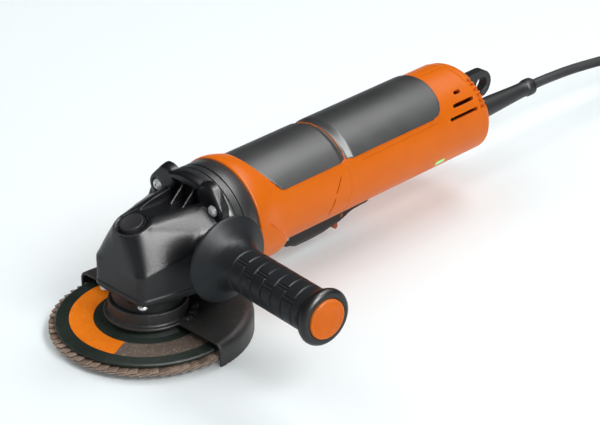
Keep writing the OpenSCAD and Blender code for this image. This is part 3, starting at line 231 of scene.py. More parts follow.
def makeStudio(look):
    world = bpy.data.worlds.new("studio")
    world.use_nodes = True
    feed(world.node_tree.nodes["Background"], {"Color": look["worldColour"], "Strength": look["worldStrength"]})
    world.cycles_visibility.glossy = False
    scene.world = world
    half = look["floorSize"] / 2
    mesh = bpy.data.meshes.new("floor")
    mesh.from_pydata([(-half, -half, 0), (half, -half, 0), (half, half, 0), (-half, half, 0)], [], [(0, 1, 2, 3)])
    floor = linked("floor", mesh)
    paper = bpy.data.materials.new("floorPaper")
    paper.use_nodes = True
    feed(paper.node_tree.nodes["Principled BSDF"], {
        "Base Color": look["floorColour"], "Roughness": look["floorRoughness"],
        "Specular IOR Level": look["floorSpecular"],
        "Emission Color": (1, 1, 1), "Emission Strength": look["floorGlow"],
    })
    mesh.materials.append(paper)
    for name, place, size, power, aim, gives in look["lamps"]:
        lamp = bpy.data.lights.new(name, "AREA")
        lamp.shape = "RECTANGLE"
        lamp.size, lamp.size_y = size
        lamp.energy = power
        holder = linked(name, lamp)
        holder.location = place
        holder.rotation_mode = "QUATERNION"
        holder.rotation_quaternion = (Vector(aim) - Vector(place)).to_track_quat("-Z", "Y")
        holder.visible_glossy = gives != "light"
        holder.visible_diffuse = gives != "reflection"
        holder.visible_camera = False


makeStudio(studio)
scene.view_settings.view_transform = "Standard"
scene.view_settings.look = "None"
print("studio set")


# ---- finishes
def texture(tree, kind, inputs, output, **settings):
    # a texture in the piece's own space
    place = tree.nodes.get("Texture Coordinate") or tree.nodes.new("ShaderNodeTexCoord")
    inputs["Vector"] = place.outputs["Object"]
    return wired(tree, "ShaderNodeTex" + kind, inputs, output, **settings)


def noise(tree, scale, detail=3, rough=0.5):
    return texture(tree, "Noise", {"Scale": scale, "Detail": detail, "Roughness": rough}, "Fac")


def spread(source, fromLow=0.3, fromHigh=0.7, low=0, high=1):
    return wired(source.id_data, "ShaderNodeMapRange", {
        "From Min": fromLow, "From Max": fromHigh, "To Min": low, "To Max": high, "Value": source,
    }, "Result")


def blend(factor, first, second):
    inputs = {"Factor": factor, "A": first, "B": second}
    return wired(factor.id_data, "ShaderNodeMix", inputs, "Result", data_type="RGBA")


def bumped(height, strength, depth, under=None):
    inputs = {"Strength": strength, "Distance": depth * mm, "Height": height}
    if under:
        inputs["Normal"] = under
    return wired(height.id_data, "ShaderNodeBump", inputs, "Normal")


def newFinish(name):
    finish = bpy.data.materials.new(name)
    finish.use_nodes = True
    return finish, finish.node_tree, finish.node_tree.nodes["Principled BSDF"]


surface = {
    "patchScale": 45, "patchRough": 0.55, "smudgeScale": 28, "bump": 0.6, "specular": 0.34, "coatRoughness": 0.2,
    "speckFrom": (0.6, 0.72), "wornFrom": (0.52, 0.60), "grainRough": 0.6,
}


def makeFinish(name, look):
    # base and second colour in soft patches, worn paler edges, roughness that varies, and grains as bump
    finish, tree, shader = newFinish(name)
    rough = surface["patchRough"]
    patches = noise(tree, look.get("patchScale", surface["patchScale"]), 3, rough)
    colour = blend(spread(patches), look["colour"], look["second"])
    if "speck" in look:
        speckColour, scale = look["speck"]
        specks = spread(noise(tree, scale, 2, rough), *surface["speckFrom"])
        colour = blend(specks, colour, speckColour)
    if "wear" in look:
        wornColour, share = look["wear"]
        edges = wired(tree, "ShaderNodeNewGeometry", output="Pointiness")
        colour = blend(spread(edges, *surface["wornFrom"], 0, share), colour, wornColour)
    smudges = noise(tree, surface["smudgeScale"], 4, rough)
    feed(shader, {
        "Base Color": colour, "Roughness": spread(smudges, 0.3, 0.7, *look["roughness"]),
        "Metallic": look.get("metal", 0), "Specular IOR Level": look.get("specular", surface["specular"]),
        "Coat Weight": look.get("coat", 0), "Coat Roughness": surface["coatRoughness"],
    })
    normal = None
    for scale, depth, *kind in look["grains"]:
        if not kind:
            height = noise(tree, scale, 3, surface["grainRough"])
        elif kind == ["cells"]:
            height = texture(tree, "Voronoi", {"Scale": scale}, "Distance", feature="SMOOTH_F1")
        else:
            direction, wobble = kind
            inputs = {"Scale": scale, "Distortion": wobble}
            height = texture(tree, "Wave", inputs, "Fac", bands_direction=direction)
        normal = bumped(height, surface["bump"], depth, normal)
    feed(shader, {"Normal": normal})
    # painted glow: the lens is made to shine by emission, as if it were lit
    if "glow" in look:
        feed(shader, {"Emission Color": look["colour"], "Emission Strength": look["glow"]})
    return finish


def skin(colour, second, roughness, grains, **extra):
    # a grain is scale and depth in mm, then "cells", or the direction and wobble of its bands, or nothing for noise;
    # wear is the colour of the edges and its share, speck a colour and its scale
    return {"colour": colour, "second": second, "roughness": roughness, "grains": grains, **extra}


looks = {
    "caseGrain": skin(
        (0.006, 0.0065, 0.008), (0.01, 0.0105, 0.012), (0.3, 0.4), [(1300, 0.07, "cells"), (2300, 0.05)],
        wear=((0.26, 0.26, 0.27), 0.6), specular=0.32,
    ),
    "caseWall": skin(
        (0.009, 0.01, 0.011), (0.013, 0.014, 0.015), (0.4, 0.5), [(1500, 0.05)], wear=((0.14, 0.14, 0.15), 0.35),
    ),
    "plateBlack": skin(
        (0.009, 0.01, 0.011), (0.013, 0.014, 0.015), (0.34, 0.44), [(1100, 0.1, "cells"), (1400, 0.06)],
        wear=((0.1, 0.1, 0.11), 0.3), specular=0.6,
    ),
    "guardPaint": skin(
        (0.03, 0.029, 0.028), (0.043, 0.041, 0.04), (0.36, 0.5), [(700, 0.05), (90, 0.12)],
        wear=((0.13, 0.125, 0.12), 0.45), speck=((0.065, 0.062, 0.06), 260),
    ),
    "housingOrange": skin(
        (0.74, 0.15, 0.002), (0.7, 0.136, 0.001), (0.32, 0.42), [(1700, 0.035), (60, 0.1)],
        wear=((0.86, 0.24, 0.02), 0.3), specular=0.16,
    ),
    "capOrange": skin(
        (0.7, 0.14, 0.003), (0.65, 0.122, 0.002), (0.34, 0.46), [(1500, 0.05)], wear=((0.85, 0.28, 0.05), 0.4),
        specular=0.14,
    ),
    "leverOrange": skin(
        (0.42, 0.09, 0.014), (0.34, 0.07, 0.012), (0.38, 0.5), [(1500, 0.05)], wear=((0.6, 0.18, 0.05), 0.3),
    ),
    "padRubber": skin(
        (0.028, 0.029, 0.03), (0.036, 0.037, 0.038), (0.4, 0.5), [(1600, 0.08, "cells"), (900, 0.05)],
        specular=0.6,
    ),
    "gripRubber": skin(
        (0.014, 0.016, 0.018), (0.019, 0.021, 0.024), (0.34, 0.44), [(1300, 0.06), (300, 0.05)],
        wear=((0.1, 0.105, 0.11), 0.6), specular=0.15,
    ),
    "rimRubber": skin((0.008, 0.008, 0.009), (0.012, 0.012, 0.013), (0.3, 0.42), [(1300, 0.04)]),
    "coreNylon": skin((0.02, 0.02, 0.022), (0.028, 0.028, 0.03), (0.4, 0.54), [(1500, 0.06)]),
    "paddleNylon": skin(
        (0.005, 0.005, 0.006), (0.009, 0.009, 0.01), (0.32, 0.44), [(1500, 0.05)],
        wear=((0.08, 0.08, 0.085), 0.35),
    ),
    "eyeNylon": skin(
        (0.013, 0.013, 0.015), (0.02, 0.02, 0.022), (0.32, 0.44), [(1300, 0.05)], wear=((0.08, 0.08, 0.085), 0.3),
    ),
    "leadRubber": skin(
        (0.03, 0.03, 0.032), (0.042, 0.042, 0.044), (0.44, 0.58), [(900, 0.05), (180, 0.1)], specular=0.5,
    ),
    "bootRubber": skin(
        (0.02, 0.02, 0.022), (0.028, 0.028, 0.03), (0.38, 0.5), [(1200, 0.05)], wear=((0.06, 0.06, 0.065), 0.3),
    ),
    "brightZinc": skin((0.86, 0.87, 0.88), (0.74, 0.75, 0.78), (0.24, 0.36), [(1500, 0.03)], metal=0.45),
    "groundSteel": skin(
        (0.56, 0.57, 0.59), (0.47, 0.48, 0.5), (0.22, 0.36), [(900, 0.02, "Z", 1.0), (1500, 0.03)], metal=1,
    ),
    "nutSteel": skin(
        (0.3, 0.31, 0.33), (0.22, 0.23, 0.24), (0.34, 0.48), [(900, 0.05)], metal=1, wear=((0.6, 0.6, 0.62), 0.5),
    ),
    "gearSteel": skin((0.36, 0.37, 0.39), (0.24, 0.23, 0.2), (0.2, 0.38), [(700, 0.04)], metal=1),
    "darkSteel": skin(
        (0.07, 0.07, 0.075), (0.05, 0.05, 0.055), (0.32, 0.44), [(1300, 0.04)], metal=0.9,
        wear=((0.4, 0.4, 0.42), 0.4),
    ),
    "springSteel": skin((0.42, 0.43, 0.45), (0.34, 0.35, 0.37), (0.24, 0.36), [(2200, 0.35, "Z", 0.0)], metal=1),
    "bronze": skin((0.5, 0.31, 0.12), (0.4, 0.24, 0.09), (0.36, 0.5), [(1100, 0.06)], metal=1),
    "laminations": skin((0.26, 0.27, 0.28), (0.19, 0.2, 0.21), (0.34, 0.46), [(2400, 0.15, "X", 0.0)], metal=1),
    "magnetCoat": skin((0.12, 0.12, 0.13), (0.09, 0.09, 0.1), (0.4, 0.52), [(900, 0.05)], metal=0.4),
    "windingCopper": skin((0.5, 0.19, 0.06), (0.4, 0.14, 0.05), (0.22, 0.34), [(1300, 0.3, "X", 2.0)], metal=0.9),
    "fanNylon": skin((0.03, 0.03, 0.034), (0.042, 0.042, 0.046), (0.42, 0.54), [(1300, 0.06)]),
    "pottingGreen": skin(
        (0.018, 0.11, 0.045), (0.014, 0.08, 0.035), (0.24, 0.4), [(260, 0.25)], speck=((0.3, 0.28, 0.12), 420),
    ),
    # the status lens gets a painted glow, though no lamp lights it
    "lensGreen": skin((0.2, 0.85, 0.22), (0.3, 0.9, 0.3), (0.12, 0.22), [(600, 0.05)], glow=0.45, coat=0.5),
    "plugBlack": skin((0.014, 0.014, 0.015), (0.02, 0.02, 0.021), (0.26, 0.38), [(1200, 0.04)]),
    "backingFibre": skin(
        (0.013, 0.023, 0.018), (0.021, 0.032, 0.025), (0.36, 0.52),
        [(420, 0.1, "X", 1.2), (420, 0.1, "Y", 1.2), (1300, 0.08)], patchScale=90,
        speck=((0.05, 0.06, 0.045), 700),
    ),
    "labelPaper": skin(
        (0.98, 0.235, 0.004), (0.93, 0.205, 0.003), (0.5, 0.62),
        [(420, 0.05, "X", 1.2), (420, 0.05, "Y", 1.2), (1500, 0.05)], specular=0.1, patchScale=160,
        speck=((0.96, 0.36, 0.06), 620),
    ),
    "bareRing": skin(
        (0.105, 0.078, 0.06), (0.165, 0.125, 0.098), (0.52, 0.66),
        [(420, 0.08, "X", 1.2), (420, 0.08, "Y", 1.2), (1200, 0.08)], patchScale=210,
        speck=((0.36, 0.28, 0.21), 520),
    ),
}
finishes = {name: makeFinish(name, look) for name, look in looks.items()}


def makeFlapFinish(look):
    # cloth back above, abrasive grain below and pale frayed ends; each flap has a shade of its own
    finish, tree, shader = newFinish("flapCloth")
    shade = wired(tree, "ShaderNodeAttribute", output="Fac", attribute_name="flapShade")
    facing = wired(tree, "ShaderNodeNewGeometry", output="Normal")
    upward = wired(tree, "ShaderNodeSeparateXYZ", {"Vector": facing}, "Z")
    cloth = blend(shade, look["cloth"], look["palerCloth"])
    cloth = blend(spread(noise(tree, look["fleckScale"]), 0.45, 0.7), cloth, look["fleck"])
    grit = blend(spread(noise(tree, look["gritScale"]), 0.35, 0.65), look["grit"], look["palerGrit"])
    ends = blend(spread(noise(tree, look["fleckScale"])), look["cutEnd"], look["palerCutEnd"])
    sideways = blend(spread(upward, 0.25, 0.6), ends, cloth)
    feed(shader, {
        "Base Color": blend(spread(upward, -0.6, -0.25), grit, sideways),
        "Roughness": look["roughness"], "Specular IOR Level": look["specular"],
        "Normal": bumped(noise(tree, look["gritScale"]), look["bump"], look["bumpDepth"]),
    })
    return finish


flapCloth = makeFlapFinish({
    "cloth": (0.19, 0.125, 0.088), "palerCloth": (0.46, 0.34, 0.26), "fleck": (0.12, 0.075, 0.05),
    "grit": (0.035, 0.016, 0.010), "palerGrit": (0.10, 0.052, 0.032),
    "cutEnd": (0.16, 0.105, 0.075), "palerCutEnd": (0.50, 0.38, 0.30),
    "fleckScale": 900, "gritScale": 2200, "roughness": 0.78, "specular": 0.25, "bump": 0.8, "bumpDepth": 0.15,
})
print(len(finishes) + 1, "finishes made")


# ---- ways of making pieces
made = []


def reworked(mesh, change):
    shape = bmesh.new()
    shape.from_mesh(mesh)
    change(shape)
    shape.to_mesh(mesh)
    shape.free()
    return mesh


def weld(shape, width):
    bmesh.ops.remove_doubles(shape, verts=shape.verts, dist=width)


def faceOut(shape):
    bmesh.ops.recalc_face_normals(shape, faces=shape.faces)


def addPiece(name, mesh, body, replaced=(), finishNames=()):
    piece = linked(name, mesh)
    mesh.name = name
    if finishNames:
        mesh.materials.clear()
        for finishName in finishNames:
            mesh.materials.append(finishes[finishName])
    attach(piece, body)
    if replaced:
        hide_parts(*replaced)
    made.append(name)


def mergedMesh(nodeName):
    # copy of a solid's mesh with its loose triangles joined
    mesh = reworked(nodes[nodeName].data.copy(), lambda shape: weld(shape, 0.01 * mm))
    mesh.materials.clear()
    if "custom_normal" in mesh.attributes:
        mesh.attributes.remove(mesh.attributes["custom_normal"])
    return mesh


def evaluated(holder):
    # the mesh with its modifiers applied; the holder goes
    bpy.context.view_layer.update()
    out = bpy.data.meshes.new_from_object(holder.evaluated_get(bpy.context.evaluated_depsgraph_get()))
    bpy.data.objects.remove(holder)
    return out


def settled(mesh, modifiers):
    # the mesh after its modifiers, given as (type, settings)
    holder = linked("working", mesh)
    for kind, settings in modifiers:
        modifier = holder.modifiers.new(kind.lower(), kind)
        for key, value in settings.items():
            setattr(modifier, key, value)
    out = evaluated(holder)
    bpy.data.meshes.remove(mesh)
    return out


def voxelled(mesh, voxel):
    return settled(mesh, [("REMESH", {"mode": "VOXEL", "voxel_size": voxel * mm})])


def smoothShade(mesh, angle):
    for face in mesh.polygons:
        face.use_smooth = True
    mesh.set_sharp_from_angle(angle=math.radians(angle))
    return mesh


def softened(nodeName, voxel, passes, share=1.0, fix=None):
    # a solid with the rounded edges of a moulding: fine even mesh, then smoothing
    mesh = voxelled(mergedMesh(nodeName), voxel)
    if fix:
        fix(mesh)
    modifiers = [("SMOOTH", {"factor": 0.5, "iterations": passes})]
    if share < 1:
        modifiers.append(("DECIMATE", {"ratio": share}))
    return smoothShade(settled(mesh, modifiers), 60)


def bevelled(nodeName, width):
    # a turned or machined solid with small broken edges
    mesh = settled(mergedMesh(nodeName), [
        ("DECIMATE", {"decimate_type": "DISSOLVE", "angle_limit": math.radians(1.0)}),
        ("BEVEL", {"width": width * mm, "segments": 2, "angle_limit": math.radians(30)}),
    ])
    return smoothShade(mesh, 35)


def meshPoints(mesh):
    points = np.empty(len(mesh.vertices) * 3)
    mesh.vertices.foreach_get("co", points)
    return points.reshape(-1, 3)


def setPoints(mesh, points):
    mesh.vertices.foreach_set("co", points.ravel())
    mesh.update()


def meshOf(name, verts, faces):
    # closed mesh with its faces turned outwards
    mesh = bpy.data.meshes.new(name)
    mesh.from_pydata(verts, [], faces)
    return reworked(mesh, faceOut)


def cleaned(shape):
    weld(shape, 0.001 * mm)
    bmesh.ops.dissolve_degenerate(shape, edges=shape.edges, dist=0.0005 * mm)
    faceOut(shape)


def turned(name, profile, origin, direction, steps, displace=None):
    # closed shape turned about an axis; profile is (along, radius) in mm, all the way round its outline
    direction = Vector(direction).normalized()
    side = direction.orthogonal().normalized()
    if abs(direction.z) < 0.9:
        side = (Vector((0, 0, 1)) - direction * direction.z).normalized()
    other = direction.cross(side)
    verts, faces = [], []
    rows = len(profile)
    for along, radius in profile:
        for k in range(steps):
            angle = 2 * math.pi * k / steps
            r = radius if displace is None else radius - displace(along, math.degrees(angle))
            verts.append(
                at(*(Vector(origin) + direction * along + (side * math.cos(angle) + other * math.sin(angle)) * r))
            )
    for i in range(rows):
        for k in range(steps):
            a, b = i * steps + k, i * steps + (k + 1) % steps
            c, d = ((i + 1) % rows) * steps + (k + 1) % steps, ((i + 1) % rows) * steps + k
            faces.append((a, b, c, d))
    return smoothShade(reworked(meshOf(name, verts, faces), cleaned), 50)


def prism(name, sections):
    # closed bar through four-sided sections
    verts = [at(*corner) for section in sections for corner in section]
    faces = []
    for i in range(len(sections) - 1):
        for k in range(4):
            a, b = i * 4 + k, i * 4 + (k + 1) % 4
            faces.append((a, b, b + 4, a + 4))
    last = len(verts) - 4
    faces += [(3, 2, 1, 0), (last, last + 1, last + 2, last + 3)]
    return meshOf(name, verts, faces)


def arcBar(name, sizes, place=lambda x, y, z: (x, y, z)):
    # bar of rectangular section along an arc, each corner then put in place
    corners = [(sizes[side], sizes[level]) for side, level in (
        ("inner", "low"), ("outer", "low"), ("outer", "high"), ("inner", "high")
    )]
    sections = []
    for i in range(sizes["steps"] + 1):
        angle = math.radians(sizes["from"] + sizes["over"] * i / sizes["steps"])
        sections.append([place(r * math.cos(angle), r * math.sin(angle), height) for r, height in corners])
    return prism(name, sections)


def carved(mesh, cutters):
    holders = [linked("cutter", cutter) for cutter in cutters]
    out = settled(mesh, [("BOOLEAN", {"object": holder, "solver": "EXACT"}) for holder in holders])
    for holder in holders:
        bpy.data.meshes.remove(holder.data)
    return smoothShade(out, 60)


# ---- gear case: a dome on upright walls drawn as one hull, then cut, dressed and given cast edges
caseShape = {
    "voxel": 0.6, "passes": 3, "domePasses": 90, "floor": 34.0, "lipHeight": 3.2, "lipOut": 0.6,
    "nose": -24.0, "noseHalf": 23.4, "noseRound": 6.5, "front": 34.0, "end": 40.0, "rearHalf": 36.4,
    "ridgeFront": (-25.0, 52.0), "ridgeRear": (40.0, 69.0), "flange": 37.5,
    "button": (-11.0, 80.0), "tilt": 16.0, "seat": 12.0, "shift": 1.0, "top": -0.6, "bulge": 1.12,
    "stepFloor": -1.7, "stepRadius": 11.2, "well": 7.8, "wellDepth": 9.5,
    "crest": ((-1, -7, 82.0), (-1, 7, 82.0)),
    "shoulder": [
        (-8, 11.2, 80.2), (0, 12.2, 81.2), (8, 14.4, 81.2), (16, 15.8, 81.2), (24, 16.6, 81.2), (33.9, 17.0, 81.2),
    ],
    "step": [(0, 11.0), (11, 7.4), (15, 9.0)],
    # the scoop's half width and floor at each x, then how far its sides lean out as they rise
    "scoop": ((-2, 4.0, 81.8), (8, 6.0, 79.6), (18, 8.5, 77.4), (37, 12.0, 74.5)),
    "lean": ((0, 0), (1.6, 1.6), (3.2, 14)),
    "ribs": (-5.5, 4.5), "ribHalf": 0.5, "ribSide": ((24.5, 75), (24.5, 76.8), (37, 72), (37, 88)),
    # humps: where the screws and crowns lie, then each disc's distance from the hump's front and its radius
    "screw": (25.0, 22.5), "crown": (18.4, 29.0), "humpFront": 32.4, "seatDepth": 1.3, "seatRadius": 4.5,
    "hump": ((0, 6.9), (1.2, 7.7), (7.6, 7.7)), "crownDiscs": ((0.8, 7.4), (2.4, 8.4), (7.6, 9.4)),
    "notch": ((38.2, 45), (7.5, 12.5), (92.2, 105)),
    "bosses": ((-1, 36.5, 7.5), (1, 33.8, 6.5)),  # side, length, radius
}
handleBase, handleTilt = (23.4, 0, 62.5), 4.8


def handleAxis(side):
    tilt = math.radians(handleTilt)
    return (-math.sin(tilt), side * math.cos(tilt), 0)


def ridgeAt(x):
    (x0, z0), (x1, z1) = caseShape["ridgeFront"], caseShape["ridgeRear"]
    return z0 + (z1 - z0) * (x - x0) / (x1 - x0)


def onSeat(u, v, height):
    # point in the plane of the button's top
    tilt = math.radians(caseShape["tilt"])
    x, z = caseShape["button"]
    return (x + u * math.cos(tilt) - height * math.sin(tilt), v, z + u * math.sin(tilt) + height * math.cos(tilt))


def hullOf(name, points):
    mesh = bpy.data.meshes.new(name)
    shape = bmesh.new()
    for point in points:
        shape.verts.new(point)
    weld(shape, 0.01)
    parts = bmesh.ops.convex_hull(shape, input=shape.verts)
    spare = {part for part in parts["geom_interior"] + parts["geom_unused"] if isinstance(part, bmesh.types.BMVert)}
    bmesh.ops.delete(shape, geom=list(spare), context="VERTS")
    for vert in shape.verts:
        vert.co = at(*vert.co)
    faceOut(shape)
    shape.to_mesh(mesh)
    shape.free()
    return mesh


def extruded(name, outline, low, high):
    # column over an outline in the plane of the button's top
    count = len(outline)
    verts = [at(*onSeat(u, v, height)) for height in (low, high) for u, v in outline]
    faces = [tuple(reversed(range(count))), tuple(range(count, 2 * count))]
    faces += [(k, (k + 1) % count, count + (k + 1) % count, count + k) for k in range(count)]
    return meshOf(name, verts, faces)


def casePlan(grow):
    # half outline of the walls from the nose back, as (x, y)
    look = caseShape
    radius = look["noseRound"] + grow
    points = []
    for k in range(11):
        turn = math.radians(9 * k)
        points.append((
            look["nose"] - grow + radius * (1 - math.cos(turn)),
            look["noseHalf"] + grow - radius * (1 - math.sin(turn)),
        ))
    return points + [(look["front"] - 0.1, look["rearHalf"] + grow)]


def caseBody():
    look = caseShape
    pairs = [((look["nose"], 0), (-look["seat"], 0))]
    for k, plan in enumerate(casePlan(0)[:-1]):
        turn = math.radians(22 + 6.8 * k)
        pairs.append((plan, (-look["seat"] * math.cos(turn), look["seat"] * math.sin(turn))))
    (x0, y0), (x1, y1) = casePlan(0)[-2:]
    pairs = [(plan, onSeat(*seat, look["top"])) for plan, seat in pairs]
    for x, y, z in look["shoulder"]:
        f = (x - look["shoulder"][0][0]) / (x1 - look["shoulder"][0][0])
        pairs.append(((x0 + (x1 - x0) * f, y0 + (y1 - y0) * f), (x, y, z)))
    points = list(look["crest"])
    for (x, y), (topX, topY, topZ) in pairs:
        for side in (-1, 1):
            points.append((x, side * y, look["floor"]))
            for t in (0, 0.2, 0.4, 0.6, 0.8, 1):
                points.append((
                    x + (topX - x) * t, side * (y + (topY - y) * t) - look["shift"] * t,
                    ridgeAt(x) + (topZ - ridgeAt(x)) * (1 - (1 - t) ** look["bulge"]),
                ))
    return hullOf("caseBody", points)


def caseScoop():
    # cut in front of the flange; its floor falls to the rear and its sides lean out
    return hullOf("scoop", [
        (x, side * (half + out), low + up)
        for x, half, low in caseShape["scoop"] for side in (-1, 1) for out, up in caseShape["lean"]
    ])


def caseRib(y):
    half = caseShape["ribHalf"]
    return hullOf("rib", [(x, y + side, z) for side in (-half, half) for x, z in caseShape["ribSide"]])


def caseHump(side, up):
    # round boss that carries a flange screw, with a crown beside the upper ones
    look = caseShape
    front, deep, wide = look["humpFront"], look["seatDepth"], look["seatRadius"]
    (y, z), (crownY, crownZ) = look["screw"], look["crown"]
    discs = [(front + back, y, up * z, radius) for back, radius in look["hump"]]
    if up > 0:
        discs += [(front + back, crownY, crownZ, radius) for back, radius in look["crownDiscs"]]
    round36 = [(math.cos(math.radians(10 * k)), math.sin(math.radians(10 * k))) for k in range(36)]
    hump = hullOf("hump", [
        (x, side * across + radius * c, axisHeight + height + radius * s)
        for x, across, height, radius in discs for c, s in round36
    ])
    seat = [(-9, 0), (-9, wide), (deep, wide), (deep, 0)]
    cutters = [turned("seat", seat, (front, side * y, axisHeight + up * z), (1, 0, 0), 40)]
    if up > 0:
        xs, ys, zs = look["notch"]
        cutters.append(hullOf("notch", [(x, side * across, z) for x in xs for across in ys for z in zs]))
    return carved(hump, cutters)


def joined(name, meshes):
    shape = bmesh.new()
    for mesh in meshes:
        shape.from_mesh(mesh)
        bpy.data.meshes.remove(mesh)
    out = bpy.data.meshes.new(name)
    shape.to_mesh(out)
    shape.free()
    return out


def relax(mesh, free, passes):
    # evens out the chosen points, given as a mask over the mesh's points in the tool's own frame
    points = meshPoints(mesh)
    local = (points - np.array(at(0, 0, 0))) / mm
    chosen = free(local)
    edges = np.empty(len(mesh.edges) * 2, dtype=np.int64)
    mesh.edges.foreach_get("vertices", edges)
    edges = edges.reshape(-1, 2)
    edges = edges[chosen[edges[:, 0]] | chosen[edges[:, 1]]]
    count = np.maximum(np.bincount(edges.ravel(), minlength=len(points)), 1)[:, None]
    for _ in range(passes):
        total = np.zeros_like(points)
        for axis in range(3):
            total[:, axis] = np.bincount(edges[:, 0], points[edges[:, 1], axis], len(points))
            total[:, axis] += np.bincount(edges[:, 1], points[edges[:, 0], axis], len(points))
        points[chosen] = 0.5 * points[chosen] + 0.5 * (total / count)[chosen]
    setPoints(mesh, points)


slopes = {
    "outside": 12.9, "beside": ((-11, 2, 10, 20, 34), (0, 10.0, 12.0, 14.5, 17.5)), "above": 1.2, "before": 30.5,
}
upright = {"below": 0.4, "normal": 0.75}


def onSlopes(local):
    # the dome's slopes, but not the ridge, the step or the scoop
    x, y, z = local.T
    outside = np.hypot(x - caseShape["button"][0], y + 1) > slopes["outside"]
    outside &= np.abs(y) > np.interp(x, *slopes["beside"])
    return outside & (z > ridgeAt(x) + slopes["above"]) & (x < slopes["before"])


# fine groove round the front and left of the button, in the plane of its top
buttonGroove = {"inner": 8.7, "outer": 9.7, "low": -2.9, "high": 3.0, "from": 160, "over": 190, "steps": 38}
stepEdge = []
for k in range(-80, 81, 8):
    turn = math.radians(k)
    stepEdge.append((-caseShape["stepRadius"] * math.cos(turn), -1 - caseShape["stepRadius"] * math.sin(turn)))
stepEdge += [(u, -v) for u, v in caseShape["step"]] + list(reversed(caseShape["step"]))
buttonX, buttonZ = caseShape["button"]
well = [(0, 0), (0, caseShape["well"]), (30, caseShape["well"]), (30, 0)]
flangeRim = [
    (33, 0), (33, caseShape["flange"] - 1.2), (34.2, caseShape["flange"]),
    (caseShape["end"], caseShape["flange"]), (caseShape["end"], 0),
]
bodyMesh = carved(caseBody(), [
    caseScoop(), extruded("step", stepEdge, caseShape["stepFloor"], 12),
    turned("well", well, (buttonX, 0, buttonZ - caseShape["wellDepth"]), (0, 0, 1), 64),
])
flangeMesh = carved(turned("flangeRim", flangeRim, (0, 0, axisHeight), (1, 0, 0), 128), [caseScoop()])
lip = [(x, side * y, z) for x, y in casePlan(caseShape["lipOut"]) for side in (-1, 1)
       for z in (caseShape["floor"], caseShape["floor"] + caseShape["lipHeight"])]
bosses = [
    turned("boss", [(18, 0), (18, radius), (length - 1, radius), (length, radius - 1), (length, 0)],
           handleBase, handleAxis(side), 64)
    for side, length, radius in caseShape["bosses"]
]
humps = [caseHump(side, up) for side in (-1, 1) for up in (-1, 1)]
ribs = [caseRib(y) for y in caseShape["ribs"]]
caseMesh = joined("caseMesh", [bodyMesh, flangeMesh, hullOf("lip", lip)] + ribs + bosses + humps)
caseMesh = voxelled(caseMesh, caseShape["voxel"])
relax(caseMesh, onSlopes, caseShape["domePasses"])
caseMesh = settled(caseMesh, [("SMOOTH", {"factor": 0.5, "iterations": caseShape["passes"]})])
caseMesh = carved(caseMesh, [arcBar("buttonGroove", buttonGroove, onSeat)])
addPiece("gearCase", caseMesh, "tool", ["gear_case"], ["caseGrain", "caseWall"])
for face in caseMesh.polygons:
    x, z = (face.center.x - toolX) / mm, face.center.z / mm
    if z < ridgeAt(x) - upright["below"] and abs(face.normal.z) < upright["normal"]:
        face.material_index = 1
print("gear case", len(caseMesh.polygons))


# ---- barrel: motor housing, handle shells and pads made truly round
barrelRadius = 32.5
barrelProfile = [
    (61.6, 36.9), (62.2, 37.5), (65.6, 37.5), (70.6, 35.7), (75.0, 33.4), (82.0, barrelRadius),
    (400.0, barrelRadius),
]
collarShown = [
    (61.6, 36.9), (62.2, 37.6), (65.6, 37.6), (69.0, 37.1), (73.0, 36.0), (77.0, 34.7), (81.0, 33.6), (86.0, 32.8),
    (92.0, barrelRadius), (400.0, barrelRadius),
]
collarFoot = {"from": 67, "to": 112, "below": 8, "outside": 30.8, "passes": 30}
padJoint = {"x": 146.0, "near": 0.9, "shift": 0.7}  # where the two pads meet
padDip = ((141, 144, 148, 152), (33.4, 31.8, 31.8, 33.4))


def trueRound(radiusAt, shownAt=None, near=0.3):
    # points near one radius go onto it, or onto the radius that is to be shown there
    def fix(mesh):
        points = meshPoints(mesh)
        local = (points - np.array(at(0, 0, axisHeight))) / mm
        radius = np.hypot(local[:, 1], local[:, 2])
        close = np.abs(radius - radiusAt(local[:, 0])) < near
        scale = (shownAt or radiusAt)(local[close, 0]) / radius[close]
        points[close, 1] = toolY + local[close, 1] * scale * mm
        points[close, 2] = axisHeight * mm + local[close, 2] * scale * mm
        setPoints(mesh, points)

    return fix


def alongProfile(profile):
    return lambda x: np.interp(x, *zip(*profile))


roundBarrel = trueRound(alongProfile(barrelProfile))
roundCollar = trueRound(alongProfile(barrelProfile), alongProfile(collarShown), 0.45)
roundPad = trueRound(lambda x: np.interp(x, *padDip))


def onFoot(local):
    # outside of the collar's foot under the barrel
    x, y, z = local.T
    inside = (x > collarFoot["from"]) & (x < collarFoot["to"]) & (z < axisHeight - collarFoot["below"])
    return inside & (np.hypot(y, z - axisHeight) > collarFoot["outside"])


def collarFix(mesh):
    roundCollar(mesh)
    relax(mesh, onFoot, collarFoot["passes"])


def frontPadFix(mesh):
    # the pads meet without a gap
    roundPad(mesh)
    points = meshPoints(mesh)
    points[points[:, 0] > at(padJoint["x"] - padJoint["near"], 0, 0)[0], 0] += padJoint["shift"] * mm
    setPoints(mesh, points)


barrelPieces = [
    # piece, node, voxel, passes, share kept, finish, slot, fix
    ("motorHousing", "motor_housing", 0.7, 2, 0.9, "housingOrange", "housing_orange", collarFix),
    ("leftHandleShell", "handle_shell_left", 0.6, 2, 0.9, "housingOrange", "housing_orange", roundBarrel),
    ("rightHandleShell", "handle_shell_right", 0.6, 2, 0.9, "housingOrange", "housing_orange", roundBarrel),
    ("frontPad", "front_grip_pad", 0.6, 3, 1.0, "padRubber", "grip_grey", frontPadFix),
    ("rearPad", "rear_grip_pad", 0.6, 3, 1.0, "padRubber", "grip_grey", roundPad),
]
